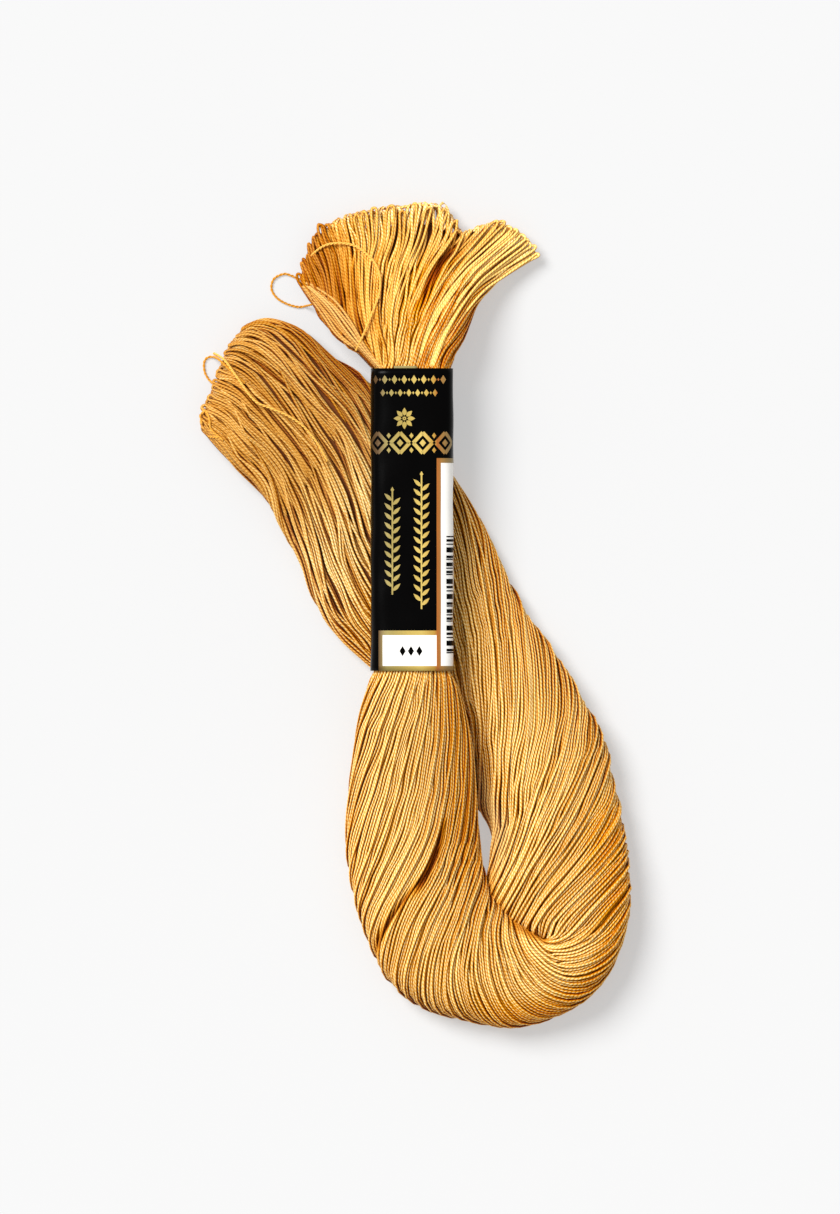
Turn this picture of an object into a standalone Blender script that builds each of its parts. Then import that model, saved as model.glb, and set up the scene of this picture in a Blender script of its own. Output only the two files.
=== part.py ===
"""A skein of pearl cotton embroidery thread lying on a table.

The wound hank is folded in a U. One leg passes up through a flattened paper band and fans out
above it, and the other leg passes under the band and ends at the upper left. Both ends are the
uncut loops of the winding. The whole hank is twisted, so its yarn locks turn from the top
over the outer edge of the fold and come up again along the inner edge.

Tables are in millimetres, measured from the middle of the band. The finished objects are in
metres, +Z up, with the origin under the middle of the skein on the surface it lies on.
"""

import math
from collections import namedtuple

import bmesh
import bpy
import numpy as np
from mathutils import Matrix

MM = 0.001

# Where the middle of the band lies in the finished part's frame, in millimetres.
BAND_CENTRE_X = -0.64
BAND_CENTRE_Y = 24.15

# The paper band, a tube pressed flat round one leg.
BAND_WIDTH = 21.6
BAND_LENGTH = 79.2
BAND_HEIGHT = 12.0
BAND_UNDERSIDE = 8.4
BAND_WALL = 1.0
BAND_COLUMNS = 40
BAND_RINGS = 6
BAND_DISH = 0.25

# The hank inside the band stops this far short of the paper.
BAND_CLEARANCE = 0.35

# The locks are the main ridges of twisted yarn. Each is drawn by a few columns of the loft.
# Their depths differ by up to the uneven share, changing slowly along the hank.
LOCKS = 10
COLUMNS_PER_LOCK = 4
LOCK_DEPTH = 0.75
LOCK_UNEVEN_SHARE = 0.25
LOCK_WAVE_LENGTH = 145.0
TURNS_IN_ALL = 1.5

# Each looped end closes over this length in a quarter round, with rings at these shares of
# it, down to an edge that keeps a little of the height.
END_ROUNDING = 3.2
END_RING_SHARES = (0.08, 0.3, 0.62, 1.0)
END_EDGE_SHARE = 0.12

# The locks end unevenly by up to this much, which fades out over a length from the end.
END_RAGGEDNESS = 3.0
END_FADE = 14.0

# How square a cross-section is: 1 is an ellipse, and less is boxier.
SECTION_ROUNDNESS = 0.72
BAND_ROUNDNESS = 0.55
SECTION_SAMPLES = 240

# Distance between the loft's rings, by the place.
STEP_OPEN = 4.6
STEP_BEND = 3.0
STEP_HIDDEN = 13.0

# Golden tan cotton and black coated paper, as red, green, blue and alpha.
THREAD_COLOUR = (0.66, 0.37, 0.12, 1.0)
PAPER_COLOUR = (0.012, 0.011, 0.012, 1.0)

# A section of the hank. lanes are five plan points from the inner edge of the fold to the
# outer one. bottom and top are heights over the table, lean lifts the inner edge and lowers
# the outer one, turn counts how far the yarn has twisted, roundness is the section's shape,
# and step is the ring spacing up to the next section.
Section = namedtuple("Section", "lanes bottom top lean turn roundness step")


def fan_section(inner, inner_mid, middle, outer_mid, outer, bottom, top, turn, step=STEP_OPEN):
    """A section of a spread end, whose lanes curve."""
    lanes = (inner, inner_mid, middle, outer_mid, outer)
    return Section(lanes, bottom, top, 0.0, turn, SECTION_ROUNDNESS, step)


def leg_section(inner, outer, bottom, top, turn, lean=0.0, step=STEP_OPEN):
    """A straight section from the inner edge to the outer edge of a leg."""
    start, end = np.array(inner), np.array(outer)
    lanes = tuple(tuple(start + (end - start) * share) for share in (0, 0.25, 0.5, 0.75, 1))
    return Section(lanes, bottom, top, lean, turn, SECTION_ROUNDNESS, step)


def band_section(y, step=STEP_HIDDEN):
    """A section of the leg where the paper band squeezes it."""
    gap = BAND_WALL + BAND_CLEARANCE + LOCK_DEPTH / 2
    reach = BAND_WIDTH / 2 - gap
    bottom = BAND_UNDERSIDE + gap
    top = BAND_UNDERSIDE + BAND_HEIGHT - BAND_DISH - gap
    leg = leg_section((reach, y), (-reach, y), bottom, top, 0.0, step=step)
    return leg._replace(roundness=BAND_ROUNDNESS)


def hank_sections():
    """The whole hank, from the fan over the band, round the fold, to the upper left end."""
    half = BAND_LENGTH / 2
    fan = [
        fan_section(
            (35.6, 71.2), (22.6, 79.4), (-1.1, 86.6), (-22.4, 79.8), (-30.1, 62.6), -0.4, 6.0, 0
        ),
        fan_section(
            (24.0, 63.6), (16.0, 70.4), (-0.8, 73.0), (-17.4, 71.4), (-26.0, 56.4), 0.4, 8.8, 0
        ),
        fan_section(
            (17.4, 56.6), (11.8, 61.8), (-0.5, 61.8), (-13.2, 61.8), (-21.8, 50.4), 3.0, 13.4, 0
        ),
        fan_section(
            (13.3, 47.4), (8.2, 51.3), (-0.3, 51.3), (-9.2, 51.3), (-16.4, 45.2), 6.6, 17.6, 0
        ),
        fan_section(
            (10.5, 42.0), (5.3, 42.4), (0, 42.6), (-5.3, 42.4), (-10.9, 42.0), 9.2, 19.0, 0
        ),
    ]
    banded = [
        band_section(half),
        band_section(half / 2),
        band_section(0),
        band_section(-half / 2),
        band_section(-half, STEP_OPEN),
    ]
    left_leg = [
        leg_section((11.8, -43.9), (-11.8, -44.2), 8.9, 19.4, 0.0, 0.6),
        leg_section((14.2, -52.9), (-13.9, -53.2), 6.2, 18.0, 0.01, 1.5),
        leg_section((15.8, -62.4), (-15.3, -63.2), 3.8, 15.9, 0.02, 2.3),
        leg_section((16.6, -73.7), (-16.7, -73.7), 0.4, 13.3, 0.04, 2.7),
        leg_section((17.4, -84.2), (-16.9, -86.8), -0.8, 12.0, 0.09, 1.4, STEP_BEND),
        leg_section((18.6, -91.6), (-15.2, -98.9), -0.8, 12.2, 0.16, 0.8, STEP_BEND),
    ]
    bend = [
        leg_section((20.4, -98.0), (-11.3, -110.4), -0.8, 12.6, 0.23, 1.0, STEP_BEND),
        leg_section((22.8, -102.5), (-5.0, -122.2), -0.8, 13.0, 0.28, 1.2, STEP_BEND),
        leg_section((25.4, -105.6), (5.1, -129.0), -0.8, 13.4, 0.32, 1.4, STEP_BEND),
        leg_section((27.9, -107.5), (15.8, -131.6), -0.8, 13.8, 0.37, 1.5, STEP_BEND),
        leg_section((30.3, -109.2), (25.8, -133.2), -0.8, 14.2, 0.42, 1.5, STEP_BEND),
        leg_section((32.4, -110.0), (35.8, -131.1), -0.8, 14.5, 0.48, 1.3, STEP_BEND),
        leg_section((34.0, -110.4), (44.7, -126.6), -0.8, 14.6, 0.57, 0.8, STEP_BEND),
        leg_section((34.9, -110.2), (51.1, -119.2), -0.8, 14.4, 0.68, 0.2, STEP_BEND),
        leg_section((35.1, -109.6), (54.7, -111.6), -0.8, 14.0, 0.78, -0.4, STEP_BEND),
    ]
    right_leg = [
        leg_section((33.6, -108.9), (56.7, -104.0), -0.8, 13.5, 0.86, -1.0, STEP_BEND),
        leg_section((30.0, -107.3), (57.3, -98.7), -0.8, 13.0, 0.93, -1.2, STEP_BEND),
        leg_section((25.7, -103.8), (57.0, -91.0), -0.8, 12.6, 0.98, -1.2, STEP_BEND),
        leg_section((22.0, -97.8), (55.6, -81.8), -0.8, 12.0, 1.03, -0.8, STEP_BEND),
        leg_section((21.2, -87.0), (53.7, -71.1), -0.8, 11.6, 1.10, -0.8, STEP_BEND),
        leg_section((20.7, -80.8), (52.1, -65.3), -1.0, 11.2, 1.14, -1.6, STEP_BEND),
        leg_section((16.8, -75.0), (50.8, -58.6), -1.4, 10.4, 1.18, -2.4),
        leg_section((13.4, -68.6), (46.5, -49.8), -1.2, 9.2, 1.26, -2.2),
        leg_section((10.4, -61.0), (40.5, -39.8), -0.8, 8.4, 1.32, -1.5),
        leg_section((6.4, -54.7), (34.5, -30.5), -0.6, 7.8, 1.36, -0.6),
    ]
    under_leg = [
        leg_section((0.8, -48.7), (28.4, -21.6), -0.6, 7.5, 1.39, 0),
        leg_section((-6.0, -43.9), (23.2, -10.5), -0.6, 7.5, 1.41, 0),
        leg_section((-12.6, -37.7), (17.9, 0.5), -0.6, 7.5, 1.42, 0),
        leg_section((-19.4, -31.0), (11.3, 11.1), -0.6, 7.5, 1.43, 0),
        leg_section((-25.6, -22.2), (4.7, 19.5), -0.6, 7.5, 1.44, 0),
        leg_section((-29.4, -11.4), (-2.6, 28.2), -0.6, 8.0, 1.45, 0),
        leg_section((-34.5, -2.0), (-10.5, 35.8), -0.6, 8.8, 1.46, 0),
    ]
    end = [
        fan_section(
            (-39.5, 7.1), (-36.8, 16.3), (-33.4, 25.0), (-28.4, 34.7), (-21.4, 43.4),
            -0.6, 9.8, 1.47,
        ),
        fan_section(
            (-45.6, 13.2), (-43.9, 22.1), (-41.0, 31.6), (-36.8, 41.6), (-30.5, 50.8),
            -0.6, 10.0, 1.48,
        ),
        fan_section(
            (-50.6, 18.3), (-49.0, 26.6), (-46.8, 34.7), (-43.5, 44.2), (-38.0, 52.9),
            -0.6, 9.4, 1.49,
        ),
        fan_section(
            (-56.0, 24.8), (-56.2, 29.4), (-55.2, 37.2), (-52.0, 44.9), (-45.2, 50.6),
            -0.6, 7.6, TURNS_IN_ALL,
        ),
    ]
    return fan + banded + left_leg + bend + right_leg + under_leg + end


def spline(knots, rows, where):
    """A smooth curve through rows of numbers given at knots, read at the places in where."""
    knots, rows, where = np.asarray(knots, float), np.asarray(rows, float), np.asarray(where, float)
    slopes = np.gradient(rows, knots, axis=0)
    at = np.clip(np.searchsorted(knots, where, side="right") - 1, 0, len(knots) - 2)
    span = (knots[at + 1] - knots[at])[:, None]
    t = (where - knots[at])[:, None] / span
    before, after = rows[at], rows[at + 1]
    rise = t * t * (3 - 2 * t)
    ease_in = t * (1 - t) ** 2 * span * slopes[at]
    ease_out = t * t * (t - 1) * span * slopes[at + 1]
    return before + (after - before) * rise + ease_in + ease_out


def across_lanes(lanes, across):
    """Plan points at places from -1 to 1 over five lanes, each point with lanes of its own."""
    spacing = 0.5
    slopes = np.gradient(lanes, spacing, axis=1)
    along = (np.clip(across, -1.0, 1.0) + 1) / spacing
    at = np.clip(along.astype(int), 0, 3)
    t = (along - at)[:, None]
    own = np.arange(len(lanes))
    before, after = lanes[own, at], lanes[own, at + 1]
    rise = t * t * (3 - 2 * t)
    ease_in = t * (1 - t) ** 2 * spacing * slopes[own, at]
    ease_out = t * t * (t - 1) * spacing * slopes[own, at + 1]
    beyond = (across - np.clip(across, -1.0, 1.0))[:, None]
    edge_slope = np.where(beyond < 0, slopes[:, 0], slopes[:, -1])
    return before + (after - before) * rise + ease_in + ease_out + beyond * edge_slope


def section_outline(roundness, half_width, half_height):
    """A closed superellipse from the outer edge over the top, with its length so far."""
    angle = np.linspace(0, 2 * math.pi, SECTION_SAMPLES + 1)
    across = np.sign(np.cos(angle)) * np.abs(np.cos(angle)) ** roundness
    up = np.sign(np.sin(angle)) * np.abs(np.sin(angle)) ** roundness
    steps = np.hypot(np.diff(across * half_width), np.diff(up * half_height))
    walked = np.concatenate([[0], np.cumsum(steps)])
    return across, up, walked / walked[-1]


def around_section(fractions, roundness, half_width, half_height):
    """Places across and up, from -1 to 1, at fractions of the way round the section."""
    across, up, walked = section_outline(roundness, half_width, half_height)
    wrapped = np.mod(fractions, 1.0)
    return np.interp(wrapped, walked, across), np.interp(wrapped, walked, up)


class Hank:
    """The smooth form through the sections, which gives a point on or inside the hank."""

    def __init__(self, sections):
        self.lanes = np.array([s.lanes for s in sections], float)
        self.heights = np.array([[s.bottom, s.top, s.lean, s.turn, s.roundness] for s in sections])
        middle = self.lanes.mean(axis=1)
        strides = np.linalg.norm(np.diff(middle, axis=0), axis=1)
        self.knots = np.concatenate([[0], np.cumsum(strides)])
        self.steps = [s.step for s in sections]
        self.length = self.knots[-1]

    def ring_places(self):
        """Distances along the hank for the loft's rings, closer together in the bend."""
        places = []
        for start, end, step in zip(self.knots, self.knots[1:], self.steps):
            count = max(1, round((end - start) / step))
            places += [start + (end - start) * i / count for i in range(count)]
        places = [p for p in places if END_ROUNDING < p < self.length - END_ROUNDING]
        first = [0.0] + [END_ROUNDING * share for share in END_RING_SHARES]
        return first + places + [self.length - p for p in reversed(first)]

    def end_factor(self, place):
        """How much of its height the hank keeps near a looped end, as a quarter round."""
        reach = min(place, self.length - place) / END_ROUNDING
        if reach >= 1:
            return 1.0
        return max(END_EDGE_SHARE, math.sqrt(1 - (1 - reach) ** 2))

    def ring(self, place, fractions, depth, shift):
        """Points at fractions round the section at this place. depth is how far in each point
        lies from the surface, and shift how far it is drawn back along the hank at an end."""
        bottom, top, lean, turn, roundness = spline(self.knots, self.heights, [place])[0]
        lanes = spline(self.knots, self.lanes.reshape(len(self.knots), -1), [place])
        chord = np.linalg.norm(lanes[0, -2:] - lanes[0, :2])
        half_width, half_height = chord / 2, (top - bottom) / 2 * self.end_factor(place)
        across, up = around_section(fractions - turn, roundness, half_width, half_height)
        across = across * (1 - depth / half_width)
        up = up * (1 - np.clip(depth / half_height, -0.1, 0.5))
        places = np.clip(place + shift, 0, self.length)
        own_lanes = spline(self.knots, self.lanes.reshape(len(self.knots), -1), places)
        plan = across_lanes(own_lanes.reshape(-1, 5, 2), across)
        height = (bottom + top) / 2 + up * half_height - lean * across
        return np.column_stack([plan, np.maximum(height, 0.0)])


def lock_depths(fractions, place):
    """How far each column lies in from the mean surface, in millimetres: crests are negative."""
    crest = np.abs(np.cos(math.pi * LOCKS * fractions))
    number = np.round(fractions * LOCKS)
    wave = np.sin(2.4 * number + 2 * math.pi * place / LOCK_WAVE_LENGTH)
    uneven = 1 - LOCK_UNEVEN_SHARE * (1 - wave)
    return LOCK_DEPTH * (uneven * (1 - crest) - 0.5)


def end_pull(fractions, place, length):
    """How far each lock is drawn back at a looped end, fading out along the hank."""
    number = np.round(np.minimum(fractions, 1 - fractions) * LOCKS)
    wave = 0.5 + 0.5 * np.sin(3.7 * number + 0.8)
    near_start = max(0.0, 1 - place / END_FADE)
    near_finish = max(0.0, 1 - (length - place) / END_FADE)
    return END_RAGGEDNESS * wave * (near_start - near_finish)


def make_material(name, colour, roughness):
    material = bpy.data.materials.new(name)
    material.use_nodes = True
    shader = material.node_tree.nodes["Principled BSDF"]
    shader.inputs["Base Color"].default_value = colour
    shader.inputs["Roughness"].default_value = roughness
    shader.inputs["Metallic"].default_value = 0.0
    material.diffuse_color = colour
    return material


def to_frame(mesh):
    """From millimetres about the band to metres about the middle of the skein."""
    mesh.transform(Matrix.Scale(MM, 4) @ Matrix.Translation((BAND_CENTRE_X, BAND_CENTRE_Y, 0)))


def add_object(name, mesh, material, collection):
    mesh.materials.append(material)
    thing = bpy.data.objects.new(name, mesh)
    collection.objects.link(thing)
    return thing


def build_hank(collection):
    """The wound thread, lofted through its sections with the twisted locks in its surface."""
    hank = Hank(hank_sections())
    columns = LOCKS * COLUMNS_PER_LOCK
    fractions = np.arange(columns) / columns
    shape = bmesh.new()
    rings = []
    for place in hank.ring_places():
        depth = lock_depths(fractions, place)
        shift = end_pull(fractions, place, hank.length)
        points = hank.ring(place, fractions, depth, shift)
        rings.append([shape.verts.new(point) for point in points])
    for ring, following in zip(rings, rings[1:]):
        for j in range(columns):
            k = (j + 1) % columns
            shape.faces.new((ring[j], following[j], following[k], ring[k]))
    close_end(shape, rings[0], 0)
    close_end(shape, rings[-1], round(TURNS_IN_ALL * columns))
    bmesh.ops.triangulate(shape, faces=shape.faces)
    bmesh.ops.recalc_face_normals(shape, faces=shape.faces)
    mesh = bpy.data.meshes.new("hank")
    shape.to_mesh(mesh)
    shape.free()
    to_frame(mesh)
    mesh.shade_smooth()
    mesh.set_sharp_from_angle(angle=math.radians(60))
    material = make_material("pearl_cotton", THREAD_COLOUR, 0.5)
    return add_object("hank", mesh, material, collection)


def close_end(shape, ring, turned):
    """Joins the top of an end ring to its underside, column by column."""
    count = len(ring)
    top = [ring[(turned + i) % count] for i in range(count // 2 + 1)]
    under = [ring[(turned - i) % count] for i in range(count // 2 + 1)]
    for i in range(count // 2):
        corners = [top[i], top[i + 1], under[i + 1], under[i]]
        distinct = list(dict.fromkeys(corners))
        shape.faces.new(distinct)


def build_band(collection):
    """The paper band: an open flattened tube along Y, given its wall by Solidify."""
    fractions = np.arange(BAND_COLUMNS) / BAND_COLUMNS
    half_width, half_height = BAND_WIDTH / 2, BAND_HEIGHT / 2
    across, up = around_section(fractions, BAND_ROUNDNESS, half_width, half_height)
    dished = 1 - BAND_DISH / half_height * np.clip(up, 0, 1) * (1 - across ** 2)
    shape = bmesh.new()
    start = [
        shape.verts.new((x * half_width, -BAND_LENGTH / 2, BAND_UNDERSIDE + half_height * (1 + z)))
        for x, z in zip(across, up * dished)
    ]
    edges = [
        shape.edges.new((start[i], start[(i + 1) % BAND_COLUMNS])) for i in range(BAND_COLUMNS)
    ]
    for _ in range(BAND_RINGS):
        grown = bmesh.ops.extrude_edge_only(shape, edges=edges)["geom"]
        moved = [item for item in grown if isinstance(item, bmesh.types.BMVert)]
        edges = [item for item in grown if isinstance(item, bmesh.types.BMEdge)]
        bmesh.ops.translate(shape, verts=moved, vec=(0, BAND_LENGTH / BAND_RINGS, 0))
    bmesh.ops.recalc_face_normals(shape, faces=shape.faces)
    mesh = bpy.data.meshes.new("band")
    shape.to_mesh(mesh)
    shape.free()
    to_frame(mesh)
    mesh.shade_smooth()
    band = add_object("band", mesh, make_material("black_paper", PAPER_COLOUR, 0.35), collection)
    wall = band.modifiers.new("paper", "SOLIDIFY")
    wall.thickness = BAND_WALL * MM
    wall.offset = -1
    wall.use_even_offset = True
    return band


def clear_scene():
    for thing in list(bpy.data.objects):
        bpy.data.objects.remove(thing, do_unlink=True)


def main():
    clear_scene()
    collection = bpy.data.collections.new("thread_skein")
    bpy.context.scene.collection.children.link(collection)
    build_hank(collection)
    build_band(collection)


main()
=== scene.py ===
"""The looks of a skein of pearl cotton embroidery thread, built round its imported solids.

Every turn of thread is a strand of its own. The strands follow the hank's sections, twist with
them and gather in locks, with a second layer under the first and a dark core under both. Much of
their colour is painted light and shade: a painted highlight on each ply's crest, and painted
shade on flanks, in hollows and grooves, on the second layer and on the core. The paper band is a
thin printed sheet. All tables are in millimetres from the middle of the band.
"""

import itertools
import math
from collections import namedtuple

import bpy
import numpy as np
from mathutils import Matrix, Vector
from mathutils.bvhtree import BVHTree


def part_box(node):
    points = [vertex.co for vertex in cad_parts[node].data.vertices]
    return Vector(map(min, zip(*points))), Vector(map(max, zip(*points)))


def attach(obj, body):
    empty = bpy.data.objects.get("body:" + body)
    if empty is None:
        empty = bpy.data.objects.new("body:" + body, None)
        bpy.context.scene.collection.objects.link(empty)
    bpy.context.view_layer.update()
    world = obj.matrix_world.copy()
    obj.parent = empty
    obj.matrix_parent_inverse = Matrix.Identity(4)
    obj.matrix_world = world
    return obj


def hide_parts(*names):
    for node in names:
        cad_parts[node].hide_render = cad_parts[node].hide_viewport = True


MM = 0.001

# The photograph's frame in pixels, its scale, and where the middle of the band is in it.
PHOTO_WIDTH = 840
PHOTO_HEIGHT = 1214
PIXELS_PER_MM = 3.8
BAND_PIXEL = (412.0, 520.0)
CAMERA_LENS = 400.0
SENSOR = 36.0

# The lamp's strength, its spread in degrees and the way to it, the sky, and the floor's glow and
# half its width in metres.
KEY_STRENGTH = 3.9
KEY_SPREAD = 30.0
KEY_FROM = (-0.63, 0.58, 1.0)
SKY_STRENGTH = 0.5
FLOOR_GLOW = 0.42
FLOOR_HALF_WIDTH = 2

# The thread is two plies, laid one round the other in this pitch. The winding has pulled the
# hank's strands thinner. Closer together than the spacing, some dive under the others.
THREAD_DIAMETER = 0.86
THREAD_RADIUS = THREAD_DIAMETER / 2
PLY_PITCH = 2.1
STRAND_WIDTH = 0.76
THREAD_SPACING = 0.74

# Strands on the surface, under it and riding over the rest, the sides to a strand and to one in
# the layer under, the strands in a piece, and the depth of the second layer.
STRANDS = 122
STRANDS_UNDER = 100
RIDERS = 22
SIDES = 8
SIDES_UNDER = 6
STRANDS_PER_PIECE = 25
SECOND_LAYER_DEPTH = 0.78

# The core's depth, its columns, and how many places it stops short of each looped end.
CORE_DEPTH = 1.9
CORE_COLUMNS = 60
CORE_SHORTER = 8

# Where strands lie side by side: how much darker a flank is painted than the crest, as painted
# shade from its neighbours, how steeply it gets so, and the least and most of a strand's width
# that its neighbours leave it.
FLANK_SHADE = 0.96
FLANK_CURVE = 1.05
PRESSED = (0.6, 1.12)

# Distance between the points of a strand, by the place.
STEP_OPEN = 2.1
STEP_BEND = 1.6
STEP_HIDDEN = 8.0
STEP_END = 0.9
END_FINE_LENGTH = 12.0

# The locks of yarn, and the grooves that show in the photograph: where each runs along the
# hank, the fraction of the way round at both ends, its depth, and its half width in strands.
LOCKS = 11
LOCK_DEPTH = 0.3
GROOVES = (
    (154.0, 175.0, 0.650, 0.657, 1.8, 1.7),
    (168.0, 187.0, 0.657, 0.55, 1.2, 1.7),
    (1.0, 24.0, 0.350, 0.322, 1.2, 1.8),
    (3.0, 28.0, 0.06, 0.16, 0.9, 1.5),
    (232.0, 262.0, 0.69, 0.69, 1.0, 1.5),
)

# How far the strands of the looped ends are drawn back from the last section, by the place
# across from -1 at the inner edge to 1 at the outer one, and the unevenness between strands.
FAN_PULL = (
    (-1.0, -0.75, -0.5, -0.35, -0.2, 0.0, 0.25, 0.5, 0.75, 1.0),
    (1.8, 0.5, 0.8, 5.5, 1.0, 2.5, 2.6, 1.8, 0.5, 0.5),
)
FREE_END_PULL = (
    (-1.0, -0.5, -0.25, 0.0, 0.5, 1.0),
    (1.5, 1.5, 2.6, 3.2, 3.0, 1.8),
)
PULL_UNEVEN = 1.2

# Strands crowd together at the inner side of the fold and lie further apart underneath: where
# round the section each share of them is, from the outer edge over the top, and where along the
# hank they do so.
SHARE_OF_STRANDS = (0.0, 0.28, 0.34, 0.62, 0.68, 1.0)
SHARE_OF_GIRTH = (0.0, 0.28, 0.33, 0.50, 0.545, 1.0)
CROWDED_INSIDE = ((60.0, 105.0, 325.0, 350.0), (0.0, 1.0, 1.0, 0.0))

# How untidily the strands lie side by side, from the fan to the free end.
DISORDER = ((0.0, 30.0, 120.0, 165.0, 240.0, 330.0, 417.0), (1.4, 1.1, 0.6, 0.8, 0.9, 1.2, 2.2))

# How many neighbours a strand crosses on its way to the free end.
CROSSING = ((335.0, 375.0), (0.0, 2.6))

# Patches of painted colour. The casts make the strands deeper and more orange, or duller, partly as
# the dye's own unevenness and partly as painted light and shade, such as the orange glow on the
# fold's outer side and the olive shade between the legs. The second table makes them paler or
# darker, partly as tone and partly as painted light, such as the pale painted highlight at the
# fan's right tip. The third is painted shade, in the fold's crease, between the legs, at the free
# end and on the fan. Each row: the start and end along the hank and across it, the width of the
# soft edge across, and how much.
DYE_AND_PAINTED_LIGHT_CASTS = (
    (118.0, 175.0, -1.1, -0.45, 0.3, 0.6),
    (205.0, 262.0, 0.35, 1.1, 0.3, 1.5),
    (262.0, 330.0, -1.1, -0.62, 0.2, -1.8),
    (350.0, 430.0, -1.3, 1.1, 0.3, -0.9),
    (-12.0, 30.0, 0.4, 1.1, 0.3, -0.4),
    (-12.0, 12.0, -1.3, -0.35, 0.3, 0.2),
    (14.0, 46.0, -1.3, 0.2, 0.4, 1.5),
)
TONE_AND_PAINTED_LIGHT = (
    (112.0, 178.0, -1.1, 1.1, 0.3, 0.5),
    (262.0, 335.0, -0.6, 1.1, 0.3, 0.5),
    (376.0, 430.0, -1.3, 1.3, 0.3, -1.2),
    (-12.0, 26.0, 0.4, 1.3, 0.3, -1.0),
    (-12.0, 14.0, -1.3, -0.35, 0.3, 3.0),
    (-12.0, 18.0, -0.5, 0.4, 0.3, 1.3),
    (16.0, 46.0, -1.3, 0.2, 0.4, -0.8),
    (196.0, 235.0, -1.3, 0.5, 0.5, 0.5),
)
SHADED = (
    (200.0, 256.0, -1.1, -0.86, 0.12, 0.5),
    (262.0, 330.0, -1.1, -0.62, 0.2, 0.12),
    (372.0, 430.0, -1.3, 1.3, 0.3, 0.1),
    (-12.0, 30.0, 0.4, 1.3, 0.3, 0.34),
    (8.0, 40.0, 0.2, 0.8, 0.3, 0.1),
    (8.0, 28.0, -0.4, 0.5, 0.3, 0.06),
)

# The strands' own turns round the hank up to its free end, and in the band.
TURNS_IN_ALL = 2.86
TURNS_IN_BAND = 0.125

# How strands stray sideways, in strands: the seed, the cells round the hank, where None is one
# for each strand, the cells along it, and how far.
STRAYING = ((11, 26, 12, 0.8), (15, 46, 34, 0.9), (21, None, 52, 0.35))
HEAVE_HEIGHT = 0.2

# Where there is no room, strands dive in an order that spreads those that do evenly: the step
# from one strand's rank to the next, how much the ranks vary along the hank, how softly a strand
# dives, how deep, and how near an end the room can be measured.
RANK_STEP = 0.618
RANK_VARIES = 0.12
DIVE_SOFTNESS = 0.12
DIVE_DEPTH = 0.62
ROOM_FROM_END = 4.0

# The riders: how far they wander, in strands, how high they lie, where the band hides them and
# they go in, by how much, and by how much they do at the ends.
RIDER_WANDER = 3.5
RIDER_LIFT = 0.5
RIDERS_HIDDEN = (34.0, 119.0)
RIDER_HIDING = 3.0
RIDER_SINK = 0.6
RIDER_END_SINK = 1.2

# Painted shade by depth: where it sets in, over what depth it grows, and how dark it gets; and how
# much darker it is painted in the second layer, and in a groove up to a depth.
SHADE_FROM = 0.2
SHADE_OVER = 1.7
SHADE_BY_DEPTH = 0.6
SHADE_UNDER = 0.15
SHADE_IN_GROOVE = 0.45
GROOVE_DARKEST = 1.2
SHADE_MOST = 0.9

# At a looped end, the distances in which the hank rounds off, the strands get drawn back, a pair
# bends to meet and a loop strays, and in which the flanks are in the open and lose their painted
# shade, and how much of it they lose at most.
END_ROUNDING = 3.2
END_FADE = 14.0
LOOP_RADIUS = 1.0
LOOP_LENGTH = 5.0
END_OPEN_LENGTH = 4.5
END_OPEN_MOST = 0.7
# The least and most of each loop's sway and spread, in strands, and of its lift.
LOOP_UNEVEN = ((-0.9, 0.9), (-0.1, 0.5), (-0.3, 0.4))

# How square the hank's and the band's sections are, and the points in which they are drawn.
SECTION_ROUNDNESS = 0.72
BAND_ROUNDNESS = 0.55
SECTION_SAMPLES = 240

# The paper and its patches, the room between it and the thread, how far the top is dished, how
# high its faint waves are, and the height of print and its thickness.
PAPER_THICKNESS = 0.25
PATCH_THICKNESS = 0.12
PAPER_ROOM = 0.55
BAND_DISH = 0.25
PAPER_WAVE = 0.07
INK_LIFT = 0.03
INK_THICKNESS = 0.025

# Sockets of a colour Mix node, whose names are shared with its other kinds.
MIX_FACTOR, MIX_A, MIX_B, MIX_RESULT = 0, 6, 7, 2

UP = np.array([0.0, 0.0, 1.0])
Section = namedtuple("Section", "lanes bottom top lean turn roundness step")

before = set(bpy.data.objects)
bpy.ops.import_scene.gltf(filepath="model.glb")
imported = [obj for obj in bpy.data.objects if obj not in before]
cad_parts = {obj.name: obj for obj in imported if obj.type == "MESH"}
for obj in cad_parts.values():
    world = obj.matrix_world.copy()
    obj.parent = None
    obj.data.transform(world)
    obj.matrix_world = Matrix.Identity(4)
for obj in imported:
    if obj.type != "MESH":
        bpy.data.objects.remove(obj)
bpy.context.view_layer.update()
BAND_LOW, BAND_HIGH = [np.array(corner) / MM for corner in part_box("band")]
BAND_MIDDLE = (BAND_LOW + BAND_HIGH) / 2
BAND_WIDTH, BAND_LENGTH, _ = BAND_HIGH - BAND_LOW
BAND_UNDERSIDE = BAND_LOW[2]
BAND_HEIGHT = BAND_HIGH[2] - BAND_LOW[2] + BAND_DISH
ORIGIN = np.array([BAND_MIDDLE[0], BAND_MIDDLE[1], 0.0])


def from_pixel(x, y):
    """A plan point in millimetres from the middle of the band, for a pixel of the photograph."""
    return (x - BAND_PIXEL[0]) / PIXELS_PER_MM, (BAND_PIXEL[1] - y) / PIXELS_PER_MM


def make_camera():
    """A long lens straight above, framed as the photograph is."""
    x, y = from_pixel(PHOTO_WIDTH / 2, PHOTO_HEIGHT / 2)
    height = PHOTO_HEIGHT / PIXELS_PER_MM * CAMERA_LENS / SENSOR
    camera = bpy.data.cameras.new("camera")
    camera.lens = CAMERA_LENS
    camera.sensor_width = SENSOR
    camera.clip_end = 10.0
    mounted = bpy.data.objects.new("camera", camera)
    mounted.location = Vector((ORIGIN[0] + x, ORIGIN[1] + y, height)) * MM
    bpy.context.scene.collection.objects.link(mounted)
    bpy.context.scene.camera = mounted


# The form of the hank

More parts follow.
